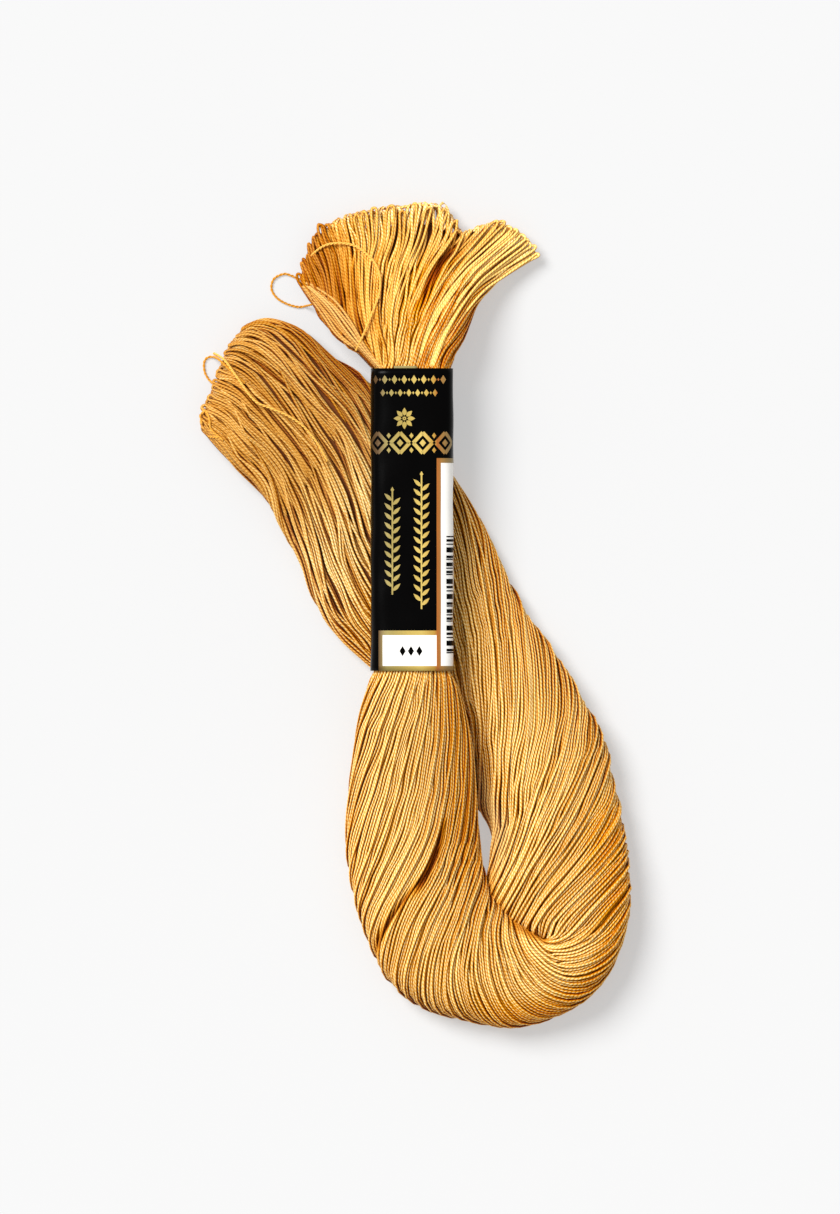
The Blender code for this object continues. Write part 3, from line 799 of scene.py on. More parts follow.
def mercerised_cotton(plied=True):
    """Pearl cotton: two plies of long cotton fibre, singed and mercerised under tension, which
    leaves them round, smooth and lustrous. The bright line along the crest of each ply is a
    painted highlight."""
    material, tree, shader = new_material("mercerised_cotton" if plied else "single_cotton_ply")
    tone = node(tree, "ShaderNodeAttribute", attribute_name="tone").outputs["Fac"]
    shade = node(tree, "ShaderNodeAttribute", attribute_name="shade").outputs["Fac"]
    place = node(tree, "ShaderNodeUVMap", uv_map="twist").outputs[0]
    split = node(tree, "ShaderNodeSeparateXYZ", {0: place})
    around, along = split.outputs[0], split.outputs[1]
    # Two plies pass in each turn of the thread, and twice along each pitch.
    laid = node(tree, "ShaderNodeMath", {0: around, 1: along}, operation="ADD").outputs[0]
    turned = node(tree, "ShaderNodeMath", {0: laid, 1: 2.0}, operation="MULTIPLY").outputs[0]
    ply = node(tree, "ShaderNodeMath", {0: turned}, operation="FRACT").outputs[0]
    arc = node(tree, "ShaderNodeMath", {0: ply, 1: math.pi}, operation="MULTIPLY").outputs[0]
    crest = node(tree, "ShaderNodeMath", {0: arc}, operation="SINE").outputs[0]
    swell = node(tree, "ShaderNodeMath", {0: crest, 1: 0.6}, operation="POWER").outputs[0]
    # Fibres lie along the thread, a few tenths of a millimetre to each visible lick of them.
    fine_around = node(tree, "ShaderNodeMath", {0: around, 1: 9.0}, operation="MULTIPLY").outputs[0]
    fine_along = node(tree, "ShaderNodeMath", {0: along, 1: 2.2}, operation="MULTIPLY").outputs[0]
    fine_place = node(
        tree, "ShaderNodeCombineXYZ", {0: fine_around, 1: fine_along, 2: tone}
    ).outputs[0]
    fibre = node(
        tree, "ShaderNodeTexNoise", {"Vector": fine_place, "Scale": 1.0, "Detail": 2.0}
    ).outputs["Fac"]
    # The colour is painted light and shade: a pale painted highlight on each ply's crest, and
    # browner, deeper painted shade in the ply hollows, on the flanks, deep in the hank and in the
    # grooves.
    rope = node(
        tree, "ShaderNodeMath", {0: swell if plied else fibre, 1: 0.3, 2: 0.7},
        operation="MULTIPLY_ADD",
    ).outputs[0]
    open_air = node(tree, "ShaderNodeMath", {0: 1.0, 1: shade}, operation="SUBTRACT").outputs[0]
    reached = node(tree, "ShaderNodeMath", {0: rope, 1: open_air}, operation="MULTIPLY").outputs[0]
    painted_light_and_shade = node(tree, "ShaderNodeValToRGB", {"Fac": reached})
    stops = painted_light_and_shade.color_ramp.elements
    stops[0].color = linear("#5A1C00")
    stops[1].color = linear("#FFEDB6")
    for position, colour in ((0.3, "#A24E00"), (0.55, "#D18618"), (0.8, "#F0B44E")):
        stops.new(position).color = linear(colour)
    body = painted_light_and_shade.outputs["Color"]
    # The tone, partly the dye's uneven take and partly painted light and shade, makes a strand
    # brighter and, the paler it is, yellower; the cast, partly painted light, makes it more orange
    # and richer.
    brightness = node(
        tree, "ShaderNodeMath", {0: tone, 1: 0.14, 2: 1.0}, operation="MULTIPLY_ADD"
    ).outputs[0]
    cast = node(tree, "ShaderNodeAttribute", attribute_name="cast").outputs["Fac"]
    level = node(
        tree, "ShaderNodeMath", {0: tone, 1: 0.006, 2: 0.5}, operation="MULTIPLY_ADD"
    ).outputs[0]
    hue = node(
        tree, "ShaderNodeMath", {0: cast, 1: -0.008, 2: level}, operation="MULTIPLY_ADD"
    ).outputs[0]
    paleness = node(
        tree, "ShaderNodeMath", {0: tone, 1: -0.035, 2: 1.0}, operation="MULTIPLY_ADD"
    ).outputs[0]
    richness = node(
        tree, "ShaderNodeMath", {0: cast, 1: 0.08, 2: paleness}, operation="MULTIPLY_ADD"
    ).outputs[0]
    dyed = node(tree, "ShaderNodeHueSaturation", {
        "Hue": hue, "Saturation": richness, "Value": brightness, "Color": body,
    }).outputs[0]
    relief = node(
        tree, "ShaderNodeMath", {0: fibre, 1: 0.25, 2: swell if plied else 0.0},
        operation="MULTIPLY_ADD",
    ).outputs[0]
    bump = node(
        tree, "ShaderNodeBump", {"Height": relief, "Distance": 0.00014, "Strength": 0.9}
    ).outputs[0]
    # The fibres lie along the strand, so a highlight spreads round it more than along it.
    round_strand = node(tree, "ShaderNodeTangent", direction_type="UV_MAP", uv_map="twist")
    tree.links.new(round_strand.outputs[0], shader.inputs["Tangent"])
    tree.links.new(dyed, shader.inputs["Base Color"])
    tree.links.new(bump, shader.inputs["Normal"])
    shader.inputs["Roughness"].default_value = 0.38
    shader.inputs["Anisotropic"].default_value = 0.6
    shader.inputs["IOR"].default_value = 1.53
    shader.inputs["Specular IOR Level"].default_value = 0.12
    shader.inputs["Specular Tint"].default_value = linear("#FFE6B4")
    return material


def cotton_in_shade():
    """The same cotton deep in the hank, which keeps out nearly all light, so that it is seen
    only as the brown between strands: its dark brown is painted shade. Its grain is a thread's
    width, about 1 mm."""
    material, tree, shader = new_material("cotton_in_shade")
    _, colour = mottled(tree, 900.0, "#6A3204", "#844408")
    tree.links.new(colour, shader.inputs["Base Color"])
    shader.inputs["Roughness"].default_value = 0.9
    return material


def printed_paper(name, dark, light, roughness, gloss):
    """Paper with a printed or bare face. Calendered fibre leaves a faint mottle, 0.5 mm across,
    and a very shallow tooth, so that reflections break up a little."""
    material, tree, shader = new_material(name)
    mottle, colour = mottled(tree, 2000.0, dark, light, 3.0)
    bump = node(
        tree, "ShaderNodeBump", {"Height": mottle, "Distance": 0.00001, "Strength": 0.5}
    ).outputs[0]
    worn = node(tree, "ShaderNodeMapRange", {
        "Value": mottle, "To Min": roughness - 0.04, "To Max": roughness + 0.06,
    }).outputs[0]
    tree.links.new(colour, shader.inputs["Base Color"])
    tree.links.new(worn, shader.inputs["Roughness"])
    tree.links.new(bump, shader.inputs["Normal"])
    shader.inputs["Specular IOR Level"].default_value = gloss
    return material


# The gold's colour from the left edge of the band to the right one: painted shade at the left,
# the ink's own yellow on the face, and a painted orange reflection of the thread at the right.
GOLD_WITH_PAINTED_LIGHT = (
    (0.1, "#5A3E14"), (0.2, "#9A8A4C"), (0.45, "#BFA450"), (0.62, "#D0B45C"), (0.77, "#BE9238"),
    (0.81, "#B0621E"), (0.86, "#A87A3A"),
)


def gold_ink():
    """Bronze powder ink: flat metal flakes in varnish, yellow on the face, with painted shade
    that turns it brown at the left shoulder and a painted reflection of the thread that turns
    it orange where the right shoulder turns away."""
    material, tree, shader = new_material("bronze_powder_ink")
    place = node(tree, "ShaderNodeTexCoord").outputs["Object"]
    across = node(tree, "ShaderNodeSeparateXYZ", {0: place}).outputs[0]
    share = node(tree, "ShaderNodeMapRange", {
        "Value": across,
        "From Min": (ORIGIN[0] - BAND_WIDTH / 2) * MM,
        "From Max": (ORIGIN[0] + BAND_WIDTH / 2) * MM,
    }).outputs[0]
    painted_shade_and_reflection = node(tree, "ShaderNodeValToRGB", {"Fac": share})
    stops = painted_shade_and_reflection.color_ramp.elements
    stops[0].color = linear("#463010")
    stops[1].color = linear("#8A7A4E")
    for position, colour in GOLD_WITH_PAINTED_LIGHT:
        stops.new(position).color = linear(colour)
    # The flakes vary in brightness at random, as painted glints.
    flake = node(
        tree, "ShaderNodeTexNoise", {"Vector": place, "Scale": 3500.0, "Detail": 2.0}
    ).outputs["Fac"]
    painted_flake_glint = node(
        tree, "ShaderNodeMapRange", {"Value": flake, "To Min": 0.85, "To Max": 1.15}
    ).outputs[0]
    colour = node(
        tree, "ShaderNodeHueSaturation", {"Value": painted_flake_glint, "Color": painted_shade_and_reflection.outputs["Color"]}
    ).outputs[0]
    tree.links.new(colour, shader.inputs["Base Color"])
    shader.inputs["Metallic"].default_value = 0.25
    shader.inputs["Roughness"].default_value = 0.45
    return material


def backlit_acrylic():
    """Opal acrylic lit a little from behind, as under small goods photographed on white, which
    leaves soft pale shadows."""
    material, tree, shader = new_material("backlit_opal_acrylic")
    _, colour = mottled(tree, 3.0, "#A2A2A2", "#A4A4A4")
    tree.links.new(colour, shader.inputs["Base Color"])
    shader.inputs["Roughness"].default_value = 0.9
    shader.inputs["Specular IOR Level"].default_value = 0.0
    shader.inputs["Emission Color"].default_value = (1, 1, 1, 1)
    shader.inputs["Emission Strength"].default_value = FLOOR_GLOW
    return material


# The hank of thread


def strand_tones(count, places, length, seed):
    """How bright each strand is at each of its points, from about -1 to 1."""
    own = np.random.default_rng(seed).normal(0, 0.5, count)
    patches = smooth_noise(seed + 1, 16, 13)
    flicker = smooth_noise(seed + 2, count, 60)
    base = np.arange(count) / count
    rows = [
        own + 0.6 * patches(base, p / length) + 0.45 * flicker(base, p / length) for p in places
    ]
    return np.clip(np.stack(rows, axis=1), -1.3, 1.3)


def open_to_air(to_end):
    """How free of its neighbours a strand is, for how far it is from the tip of its loop."""
    return np.clip(1 - to_end / END_OPEN_LENGTH, 0, END_OPEN_MOST)


def build_strands(hank, cotton):
    """The layers of strands, in a few pieces each."""
    pieces = []
    places = hank.places()
    open_air = open_to_air(np.minimum(places, hank.length - places))
    for layer in (0, 1, 2):
        paths, shades, outward, casts, paler, tops = strand_paths(hank, layer)
        room = room_beside(paths, outward, tops)
        tones = strand_tones(len(paths), places, hank.length, 41 + layer) + paler
        shades = np.clip(shades, 0, SHADE_MOST)
        sides = SIDES_UNDER if layer == 1 else SIDES
        for first in range(0, len(paths), STRANDS_PER_PIECE):
            part = slice(first, first + STRANDS_PER_PIECE)
            looks = (tones[part], shades[part], casts[part])
            pieces.append(tubes(
                f"strands_{layer + 1}_{first // STRANDS_PER_PIECE + 1}", paths[part],
                STRAND_WIDTH / 2, cotton, looks, 3, sides, outward[part],
                [side[part] for side in room], open_air,
            ))
    return pieces


def build_core(hank, material):
    """The form inside the strands, dark with painted shade."""
    fractions = np.arange(CORE_COLUMNS) / CORE_COLUMNS
    places = hank.places()[CORE_SHORTER:-CORE_SHORTER]
    points = np.concatenate([hank.ring(place, fractions, CORE_DEPTH)[0] for place in places])
    points[:, 2] = np.maximum(points[:, 2], THREAD_DIAMETER)
    inward = grid_quads(len(places), CORE_COLUMNS, True)
    return mesh_object("core", points, np.roll(inward[:, ::-1], 1, axis=1), material)


# Loops that lie over the others at the looped ends: how far round the section they stand,
# how many there are, the least and most that they reach past the others, and half their width.
FAN_LOOPS = (
    (0.012, 0.11, 9, 0.6, 2.6, 1.0), (0.11, 0.34, 13, -1.6, 0.5, 0.75),
    (0.37, 0.495, 10, 0.2, 2.0, 0.85),
)
FREE_END_LOOPS = (
    (0.03, 0.22, 6, -0.6, 0.8, 0.6), (0.22, 0.36, 6, -0.2, 1.6, 0.8),
    (0.36, 0.49, 6, 0.2, 1.9, 0.9),
)
# How far from the end a loop's feet pass, the furthest first, how deep they root there, and how
# far they stay within the upper side. Then how far from the end the brim is, and the place that
# gives the loop its colour; and the points of a loop.
LOOP_FEET = (37.0, 29.0, 21.0, 14.0, 8.5, 4.5, 2.0)
LOOP_ROOT_DEPTH = 0.6
LOOP_SPAN = (0.004, 0.496)
LOOP_BRIM = 0.7
LOOP_SEEN_AT = 8.0
LOOP_LEAST = 0.9
LOOP_POINTS = 90


def end_loops(name, hank, at_finish, table, seed, cotton):
    """Loops of thread that cross over the others, and stand out past a looped end."""
    rng = np.random.default_rng(seed)
    turn = TURNS_IN_ALL if at_finish else 0.0
    seen = hank.length - LOOP_SEEN_AT if at_finish else LOOP_SEEN_AT
    paths, looks = [], []
    for start, end, count, least, most, widest in table:
        for share in np.linspace(start, end, count) + rng.uniform(-0.006, 0.006, count):
            reach = rng.uniform(least, most)
            half = widest * rng.uniform(0.55, 1.0)
            foot = rng.uniform(0.4, 0.8) / STRANDS
            high = rng.uniform(-0.4, 0.5)
            drift = rng.uniform(-0.045, 0.045, 2)
            roll, bend = rng.uniform(-0.9, 0.9), rng.uniform(-0.4, 0.4)
            pair = np.array([share - foot, share + foot]) + turn

            def feet(distance):
                place = hank.length - distance if at_finish else distance
                back = (distance / LOOP_FEET[0]) ** 1.4
                depth = high * (1 - back) + LOOP_ROOT_DEPTH * back
                rooted = np.clip(pair - turn + drift * back, *LOOP_SPAN) + turn
                return hank.ring(place, rooted, depth)[0]

            rows = [feet(distance) for distance in LOOP_FEET]
            across = hank.ring(seen, pair, 0.5)[1]
            looks.append([
                patches_at(patches, seen, across).mean() for patches in (TONE_AND_PAINTED_LIGHT, SHADED, DYE_AND_PAINTED_LIGHT_CASTS)
            ])
            brim = feet(LOOP_BRIM)
            outward = unit((brim - rows[-1]).mean(axis=0) * (1, 1, 0.3))
            sideways = unit(brim[1] - brim[0])
            sideways = sideways * math.cos(roll) + UP * math.sin(roll)
            outward = unit(outward + sideways * bend)
            middle = brim.mean(axis=0) + outward * min(0.0, reach)
            reach = max(LOOP_LEAST, reach)
            paths.append(smooth_line([row[0] for row in rows] + [
                middle + outward * reach * 0.5 - sideways * half,
                middle + outward * reach,
                middle + outward * reach * 0.5 + sideways * half,
            ] + [row[1] for row in rows[::-1]], LOOP_POINTS))
    paths = np.array(paths)
    paths[:, :, 2] = np.maximum(paths[:, :, 2], THREAD_RADIUS)
    # Each loop is a little paler and gets a little more painted shade.
    looks = np.array(looks) + (0.1, 0.1, 0)
    looks[:, 0] += rng.normal(0, 0.5, len(paths))
    looks = [np.repeat(look[:, None], LOOP_POINTS, axis=1) for look in looks.T]
    open_air = open_to_air(np.abs(np.linspace(-1, 1, LOOP_POINTS)) * LOOP_FEET[0])
    return tubes(name, paths, STRAND_WIDTH / 2, cotton, looks, outward=UP, open_air=open_air)


# Loose threads, which all get a little painted shade: the tone of each, how far it lies off what is
# under it, and its pixels. The dark tone of the loop by the fan is painted shade.
LOOSE_SHADE = 0.16
LOOSE_THREADS = {
    "loose_loop_by_fan": (-0.8, 0.0, [
        (312, 268), (301.5, 279), (292, 276), (284, 274), (274, 279), (271.5, 289), (277, 298),
        (287, 304), (298, 307), (307, 306), (319, 304), (330, 308),
    ]),
    "arc_over_fan": (1.3, 1.0, [
        (305, 275), (308, 262), (314, 254), (326, 246), (341, 244), (355, 247), (366.5, 255),
        (376, 266), (380, 279), (379, 296), (371, 318), (362, 340), (356, 352),
    ]),
    "loop_at_free_end": (-0.6, 0.2, [
        (234, 390), (215, 385), (206, 375), (204, 364), (207, 358), (213, 357), (219, 360),
        (232, 372), (246, 384),
    ]),
    "small_loop_at_free_end": (0.0, 0.1, [
        (222, 438), (208, 436), (203, 425), (201, 416), (206, 412), (210, 420), (212, 430),
        (224, 441),
    ]),
    "thread_across_free_end": (1.4, 1.5, [
        (213, 353), (220, 357), (227, 363), (237, 377), (255, 401), (272, 409), (288, 416),
        (304, 427), (318, 444), (328, 462),
    ]),
}


def twisted_thread(name, path, ply, tone):
    """A thread whose two plies are modelled, for those that lie apart from the rest."""
    lengths = np.concatenate([[0], np.cumsum(np.linalg.norm(np.diff(path, axis=0), axis=1))])
    steps_per_pitch = 9
    steps = int(lengths[-1] / (PLY_PITCH / steps_per_pitch))
    even = np.linspace(0, lengths[-1], steps)
    centre = np.stack([np.interp(even, lengths, path[:, i]) for i in range(3)], -1)
    (first,), (second,) = ring_frames(centre[None])
    angle = -2 * math.pi * even / PLY_PITCH
    wound = []
    for start in (0.0, math.pi):
        swing = np.cos(angle + start)[:, None] * first + np.sin(angle + start)[:, None] * second
        wound.append(centre + swing * THREAD_DIAMETER * 0.2)
    radius = THREAD_DIAMETER * 0.21
    plain = np.zeros((2, steps))
    return tubes(name, np.array(wound), radius, ply, (plain + tone, plain + LOOSE_SHADE, plain))


def surface_below():
    """The hank's solid, for finding how high a thread lies on it."""
    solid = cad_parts["hank"].data
    corners = [tuple(v.co) for v in solid.vertices]
    return BVHTree.FromPolygons(corners, [tuple(p.vertices) for p in solid.polygons])


def laid_over(under, plan, lift, slack):
    """A path over what is under it, at a lift, evened out over so many points to each side."""
    above = 0.1
    heights = []
    for x, y in plan + ORIGIN[:2]:
        hit = under.ray_cast(Vector((x * MM, y * MM, above)), -Vector(UP))[0]
        heights.append(hit.z / MM + lift if hit else THREAD_RADIUS)
    window = np.ones(2 * slack + 1) / (2 * slack + 1)
    heights = np.convolve(np.pad(heights, slack, "edge"), window, "valid")
    return np.column_stack([plan, np.maximum(heights, THREAD_RADIUS)])


def build_loose_threads(under, ply):
    """Threads that have slipped out of the hank, each resting on what is under it."""
    pieces = []
    for name, (tone, lift, pixels) in LOOSE_THREADS.items():
        plan = smooth_line([from_pixel(*pixel) for pixel in pixels], 160)
        pieces.append(twisted_thread(name, laid_over(under, plan, lift, 8), ply, tone))
    return pieces


# The lock that leaves the fan at its lower left: its upper and lower edges, in pixels, its loops,
# the points along a loop's side and round a whole loop, and its painted shade and cast.
LOCK_UPPER = ((386, 373), (368, 350), (353, 324), (337, 303), (320, 290), (305, 281.5))
LOCK_LOWER = ((375, 371), (355, 351), (336, 336), (323, 318), (312, 301), (303, 287))
LOCK_PAIRS = 4
LOCK_SIDE_POINTS = 34
LOCK_POINTS = 80
LOCK_SHADE = 0.33
LOCK_CAST = -1.0


def build_fan_lock(under, cotton):
    """The lock of looped threads that lies over the fan's lower left edge."""
    rng = np.random.default_rng(64)
    points = LOCK_SIDE_POINTS
    upper, lower = [
        smooth_line([from_pixel(*pixel) for pixel in edge], points)
        for edge in (LOCK_UPPER, LOCK_LOWER)
    ]
    paths = []
    for pair in range(LOCK_PAIRS):
        middle = (pair + 0.5) / LOCK_PAIRS
        spread = 0.25 / LOCK_PAIRS
        lines = []
        for side in (-1, 1):
            sway = np.interp(np.arange(points), (0, 11, 22, 33), rng.uniform(-0.06, 0.06, 4))
            share = middle + side * spread + sway
            lines.append(upper + (lower - upper) * share[:, None])
        ahead = unit(lines[0][-1] - lines[0][-4])
        reach = rng.uniform(-1.2, 1.0)
        tip = (lines[0][-1] + lines[1][-1]) / 2 + ahead * (reach + 0.5)
        # A loop that stays behind leaves out the last points before its tip.
        kept = points if reach > 0 else points - 2
        plan = np.concatenate([lines[0][:kept], [tip], lines[1][:kept][::-1]])
        plan = smooth_line(plan[::2], LOCK_POINTS)
        lift = 0.25 + 0.55 * math.sin(math.pi * middle) + 0.3 * (pair % 2)
        paths.append(laid_over(under, plan, lift, 3))
    tones = np.repeat(rng.normal(-0.1, 0.6, LOCK_PAIRS)[:, None], LOCK_POINTS, axis=1)
    plain = np.zeros(tones.shape)
    looks = tones, plain + LOCK_SHADE, plain + LOCK_CAST
    return tubes("lock_over_fan", np.array(paths), STRAND_WIDTH / 2, cotton, looks, outward=UP)


# The paper band


def band_outline():
    """The band's section from the middle of its top towards +X and round: places across and up
    and the length so far."""
    angle = math.pi / 2 - np.linspace(0, 2 * math.pi, 4 * SECTION_SAMPLES + 1)
    across, up = superellipse(angle, BAND_ROUNDNESS)
    half_width, half_height = BAND_WIDTH / 2, BAND_HEIGHT / 2
    up = up * (1 - BAND_DISH / half_height * np.clip(up, 0, 1) * (1 - across ** 2))
    x, z = across * half_width, BAND_UNDERSIDE + half_height * (1 + up)
    lengths = np.concatenate([[0], np.cumsum(np.hypot(np.diff(x), np.diff(z)))])
    return x, z, lengths


OUTLINE_X, OUTLINE_Z, OUTLINE_LENGTH = band_outline()
BAND_GIRTH = OUTLINE_LENGTH[-1]


def round_band(x):
    """The length round the band from the middle of its top, for a place seen from above."""
    # The last samples before the side face are left out, where the section is all but upright.
    top = SECTION_SAMPLES - 8
    both = [np.concatenate([-half[top:0:-1], half[:top]]) for half in (OUTLINE_X, OUTLINE_LENGTH)]
    return float(np.interp(x, *both))


def on_band(length, y, lift=0.0):
    """A point on the paper, with the faint waves of paper pressed over thread."""
    step = 0.15
    at = np.mod(length, BAND_GIRTH)
    beyond = np.mod(at + step, BAND_GIRTH)
    x, z = [np.interp(at, OUTLINE_LENGTH, half) for half in (OUTLINE_X, OUTLINE_Z)]
    dx = np.interp(beyond, OUTLINE_LENGTH, OUTLINE_X) - x
    dz = np.interp(beyond, OUTLINE_LENGTH, OUTLINE_Z) - z
    size = math.hypot(dx, dz)
    wave = math.sin(0.19 * y + 0.7 * length) + 0.7 * math.sin(0.43 * y - 0.35 * length + 1.3)
    lift = lift + PAPER_WAVE * wave
    return x - dz / size * lift, y, z + dx / size * lift


def band_pixel(x, y):
    """A place on the paper, as length round it and distance along it, for a pixel."""
    plan_x, plan_y = from_pixel(x, y)
    return round_band(plan_x), plan_y


def build_paper(black, gold, white, bare):
    """The band's sheet, with its black ground, gold rules, blank window and pale side strip."""
    window_left, window_top = band_pixel(378.8, 630.4)
    inner_left, inner_top = band_pixel(382.9, 635.0)
    inner_right, inner_bottom = band_pixel(436.6, 665.6)
    strip_left, strip_top = band_pixel(440.8, 463.7)
    _, strip_edge_top = band_pixel(440.8, 459.0)
    strip_right = strip_left + 7.5
    strip_edge_right = strip_right + 0.9
    half = BAND_LENGTH / 2

    def ground(length, y):
        if inner_right < length < strip_edge_right and y < strip_edge_top:
            inside = strip_left < length < strip_right and inner_bottom < y < strip_top
            return 2 if inside else 1
        if window_left < length < inner_right and y < window_top:
            inside = inner_left < length and inner_bottom < y < inner_top
            return 2 if inside else 1
        return 0

    rules = [window_left, inner_left, inner_right, strip_left, strip_right, strip_edge_right]
    lengths = merged(np.arange(-BAND_GIRTH / 2, BAND_GIRTH / 2, 0.9), rules, 0.3)
    rules = [strip_edge_top, strip_top, window_top, inner_top, inner_bottom]
    heights = merged(np.linspace(-half, half, 54), rules, 0.4)
    points = [on_band(length, y) for y in heights for length in lengths]
    edges = lengths + [lengths[0] + BAND_GIRTH]
    grounds = [
        ground((left + right) / 2, (low + high) / 2)
        for low, high in zip(heights, heights[1:]) for left, right in zip(edges, edges[1:])
    ]
    quads = grid_quads(len(heights), len(lengths), True)
    paper = mesh_object("paper_band", np.array(points), quads, black)
    for material in (gold, white, bare):
        paper.data.materials.append(material)
    paper.data.polygons.foreach_set("material_index", grounds)
    thicken(paper, PAPER_THICKNESS, 3)
    return paper


def merged(plain, rules, least):
    """Evenly spaced lines, with those too near a rule left out and the rules put in."""
    kept = [value for value in plain if all(abs(value - rule) > least for rule in rules)]
    return sorted(kept + list(rules))


def thicken(thing, thickness, material_offset=0):
    wall = thing.modifiers.new("paper", "SOLIDIFY")
    wall.thickness = thickness * MM
    wall.offset = -1
    wall.use_even_offset = False
    wall.material_offset = material_offset
    wall.material_offset_rim = material_offset


def paper_patch(name, left, right, low, high, lift, material):
    """A rectangle of paper that follows the band."""
    rows, columns = 30, 9
    points = [
        on_band(length, y, lift)
        for y in np.linspace(low, high, rows) for length in np.linspace(left, right, columns)
    ]
    patch = mesh_object(name, np.array(points), grid_quads(rows, columns, False), material)
    thicken(patch, PATCH_THICKNESS)
    return patch


class Print:
    """Strokes of ink on the band, gathered into one piece."""

    def __init__(self):
        self.points = []
        self.faces = []

    def stroke(self, middle, widths):
        """A stroke along points on the paper, with a width at each."""
        middle = np.asarray(middle, float)
        widths = np.broadcast_to(widths, len(middle))
        ahead = np.gradient(middle, axis=0)
        ahead /= np.maximum(np.linalg.norm(ahead, axis=1, keepdims=True), 1e-9)
        aside = np.column_stack([ahead[:, 1], -ahead[:, 0]])
        start = len(self.points)
        for centre, way, width in zip(middle, aside, widths):
            for side in (-0.5, 0.0, 0.5):
                self.points.append(on_band(*(centre + way * side * width), lift=INK_LIFT))
        self.faces += (start + grid_quads(len(middle), 3, False)).tolist()

    def lozenge(self, x, y, width, height):
        rows = np.linspace(-0.5, 0.5, 7)
        middle = [(x, y + row * height) for row in rows]
        self.stroke(middle, width * (1 - 2 * np.abs(rows)) + 0.02)

    def leaf(self, root, tip, width):
        share = np.linspace(0, 1, 7)[:, None]
        middle = np.array(root) + (np.array(tip) - np.array(root)) * share
        self.stroke(middle, width * np.sin(np.pi * share[:, 0] ** 0.8) + 0.02)

    def ring(self, x, y, radius_x, radius_y, width):
        angle = np.linspace(0, 2 * math.pi, 25)
        around = np.column_stack([x + radius_x * np.cos(angle), y + radius_y * np.sin(angle)])
        self.stroke(around, width)

    def rule(self, start, end, width):
        share = np.linspace(0, 1, 12)[:, None]
        self.stroke(np.array(start) + (np.array(end) - np.array(start)) * share, width)

    def finish(self, name, material):
        ink = mesh_object(name, np.array(self.points), np.array(self.faces), material)
        ink.data.shade_flat()
        thicken(ink, INK_THICKNESS)
        return ink


def print_ornaments(gold):
    """The gold ornaments: two lozenge borders, a rosette, a wide chain and two leafy stems."""
    ink = Print()
    for row, count, width, height in ((380.8, 8, 1.5, 2.3), (394.0, 7, 1.3, 1.9)):
        left, y = band_pixel(376.0 if count == 8 else 383.0, row)
        right, _ = band_pixel(443.0 if count == 8 else 435.0, row)
        for x in np.linspace(left, right, count):
            ink.lozenge(x, y, width, height)
        for x in np.linspace(left, right, 2 * count - 1)[1::2]:
            ink.lozenge(x, y, 0.55, 0.8)
    x, y = band_pixel(404.5, 419.5)
    for angle in np.arange(8) * math.pi / 4:
        way = np.array([math.cos(angle), math.sin(angle)])
        ink.leaf((x, y) + way * 0.75, (x, y) + way * 2.8, 1.15)
    ink.ring(x, y, 0.32, 0.32, 0.36)
    left, y = band_pixel(378.0, 443.8)
    right, _ = band_pixel(445.0, 443.8)
    middles = np.linspace(left, right, 4)
    for x in middles:
        corners = [(x, y - 2.7), (x + 2.5, y), (x, y + 2.7), (x - 2.5, y), (x, y - 2.7)]
        for start, end in zip(corners, corners[1:]):
            ink.rule(start, end, 0.95)
        ink.lozenge(x, y, 1.7, 2.0)
    for x in (middles[1:] + middles[:-1]) / 2:
        ink.lozenge(x, y + 1.9, 1.1, 1.5)
        ink.lozenge(x, y - 1.9, 1.1, 1.5)
    for column, top, bottom in ((392.5, 491.6, 594.7), (421.5, 476.0, 609.0)):
        x, high = band_pixel(column, top)
        _, low = band_pixel(column, bottom)
        ink.rule((x, low), (x, high), 0.42)
        for y in np.arange(low + 1.0, high - 1.8, 2.5):
            ink.leaf((x + 0.15, y), (x + 2.1, y + 1.9), 0.95)
            ink.leaf((x - 0.15, y + 1.1), (x - 2.1, y + 3.0), 0.95)
        ink.lozenge(x, high + 0.3, 0.9, 1.6)
    return ink.finish("gold_ornaments", gold)


def print_marks(black):
    """Three plain marks in the window, and bars in a short repeating pattern along the side
    strip. They say nothing."""
    ink = Print()
    middle, y = band_pixel(411.0, 650.8)
    for x in (middle - 2.2, middle, middle + 2.2):
        ink.lozenge(x, y, 1.6, 2.6)
    left, top = band_pixel(446.3, 534.5)
    _, bottom = band_pixel(446.3, 654.0)
    narrowest, bar_length = 0.33, 3.2
    y = top
    for number in itertools.count():
        width = narrowest * (1, 2, 1, 3)[number % 4]
        y -= width + narrowest * (1, 1, 2)[number % 3]
        if y < bottom:
            break
        ink.rule((left, y), (left + bar_length, y), width)
    return ink.finish("window_marks", black)


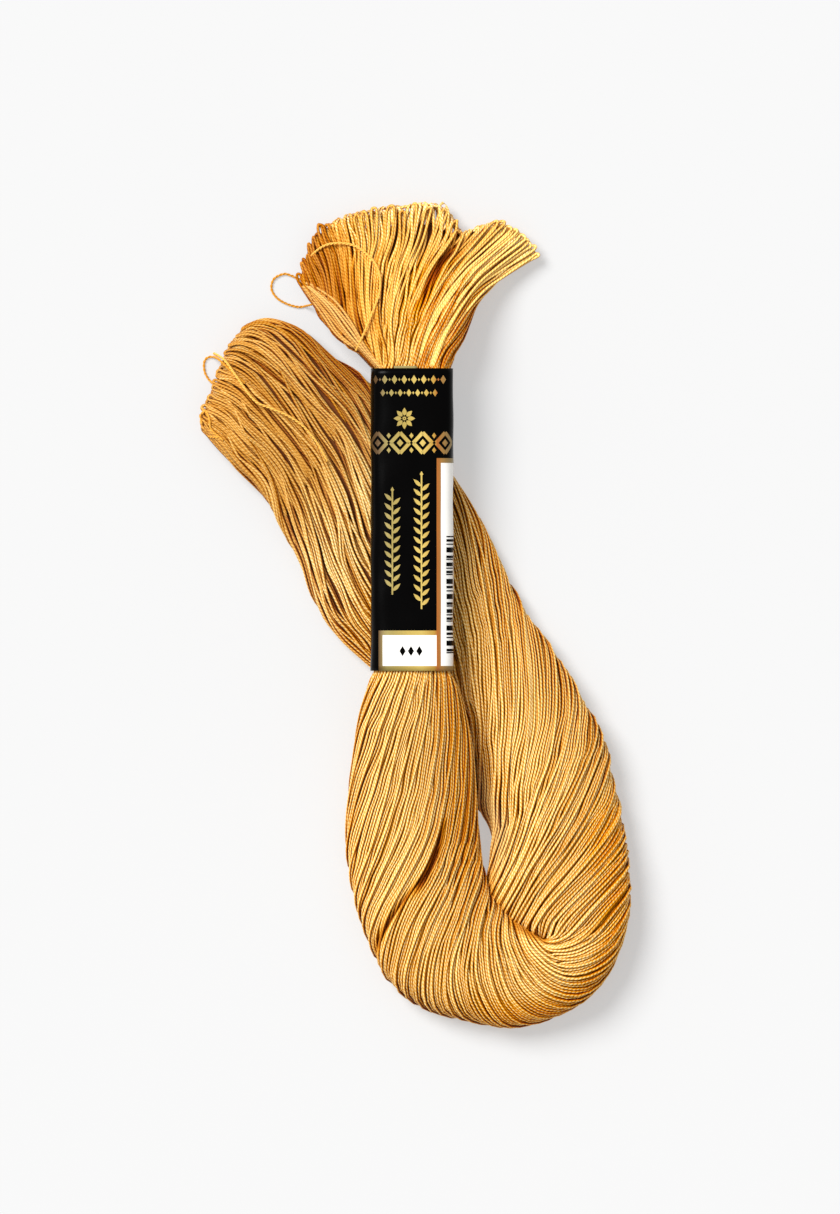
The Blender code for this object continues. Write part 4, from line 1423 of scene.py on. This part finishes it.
def build_band():
    """The paper band with its print, its glued overlap and the inner end that peeps out."""
    black = printed_paper("gloss_coated_black_paper", "#010101", "#030202", 0.24, 0.05)
    white = printed_paper("gloss_coated_white_paper", "#F6F3EC", "#FCFAF5", 0.3, 0.3)
    bare = printed_paper("bare_paper_back", "#8F8150", "#A3945F", 0.75, 0.2)
    gold = gold_ink()
    paper = build_paper(black, gold, white, bare)
    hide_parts("band")
    under = BAND_GIRTH / 2
    half = BAND_LENGTH / 2
    overlap = paper_patch("paper_overlap", under - 4.0, under + 4.5, -half, half, 0.14, black)
    left, _ = band_pixel(394.0, 369.5)
    right, _ = band_pixel(417.0, 369.5)
    peeping = paper_patch("paper_inner_end", left, right, half - 6.0, half + 0.6, -0.3, bare)
    return [paper, overlap, peeping, print_ornaments(gold), print_marks(black)]


# The light and the ground


def build_stage():
    """A pale floor, a soft lamp high on the left and behind, and an even sky."""
    mesh = bpy.data.meshes.new("floor")
    far = FLOOR_HALF_WIDTH
    corners = [(-far, -far, 0), (far, -far, 0), (far, far, 0), (-far, far, 0)]
    mesh.from_pydata(corners, [], [(0, 1, 2, 3)])
    mesh.materials.append(backlit_acrylic())
    floor = bpy.data.objects.new("floor", mesh)
    bpy.context.scene.collection.objects.link(floor)
    light = bpy.data.lights.new("key", "SUN")
    light.energy = KEY_STRENGTH
    light.angle = math.radians(KEY_SPREAD)
    lamp = bpy.data.objects.new("key", light)
    lamp.rotation_euler = (-Vector(KEY_FROM)).to_track_quat("-Z", "Y").to_euler()
    bpy.context.scene.collection.objects.link(lamp)
    world = bpy.data.worlds.new("sky")
    world.use_nodes = True
    world.node_tree.nodes["Background"].inputs["Color"].default_value = (1, 1, 1, 1)
    world.node_tree.nodes["Background"].inputs["Strength"].default_value = SKY_STRENGTH
    bpy.context.scene.world = world
    bpy.context.scene.view_settings.view_transform = "Standard"


def main():
    make_camera()
    build_stage()
    hank = Hank(hank_sections())
    cotton = mercerised_cotton()
    strands = build_strands(hank, cotton)
    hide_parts("hank")
    core = build_core(hank, cotton_in_shade())
    under = surface_below()
    loops = [
        end_loops("fan_loops", hank, False, FAN_LOOPS, 61, cotton),
        end_loops("free_end_loops", hank, True, FREE_END_LOOPS, 62, cotton),
        build_fan_lock(under, cotton),
    ]
    loose = build_loose_threads(under, mercerised_cotton(plied=False))
    for piece in strands + [core] + loops + loose:
        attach(piece, "root")
    for piece in build_band():
        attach(piece, "root")


main()
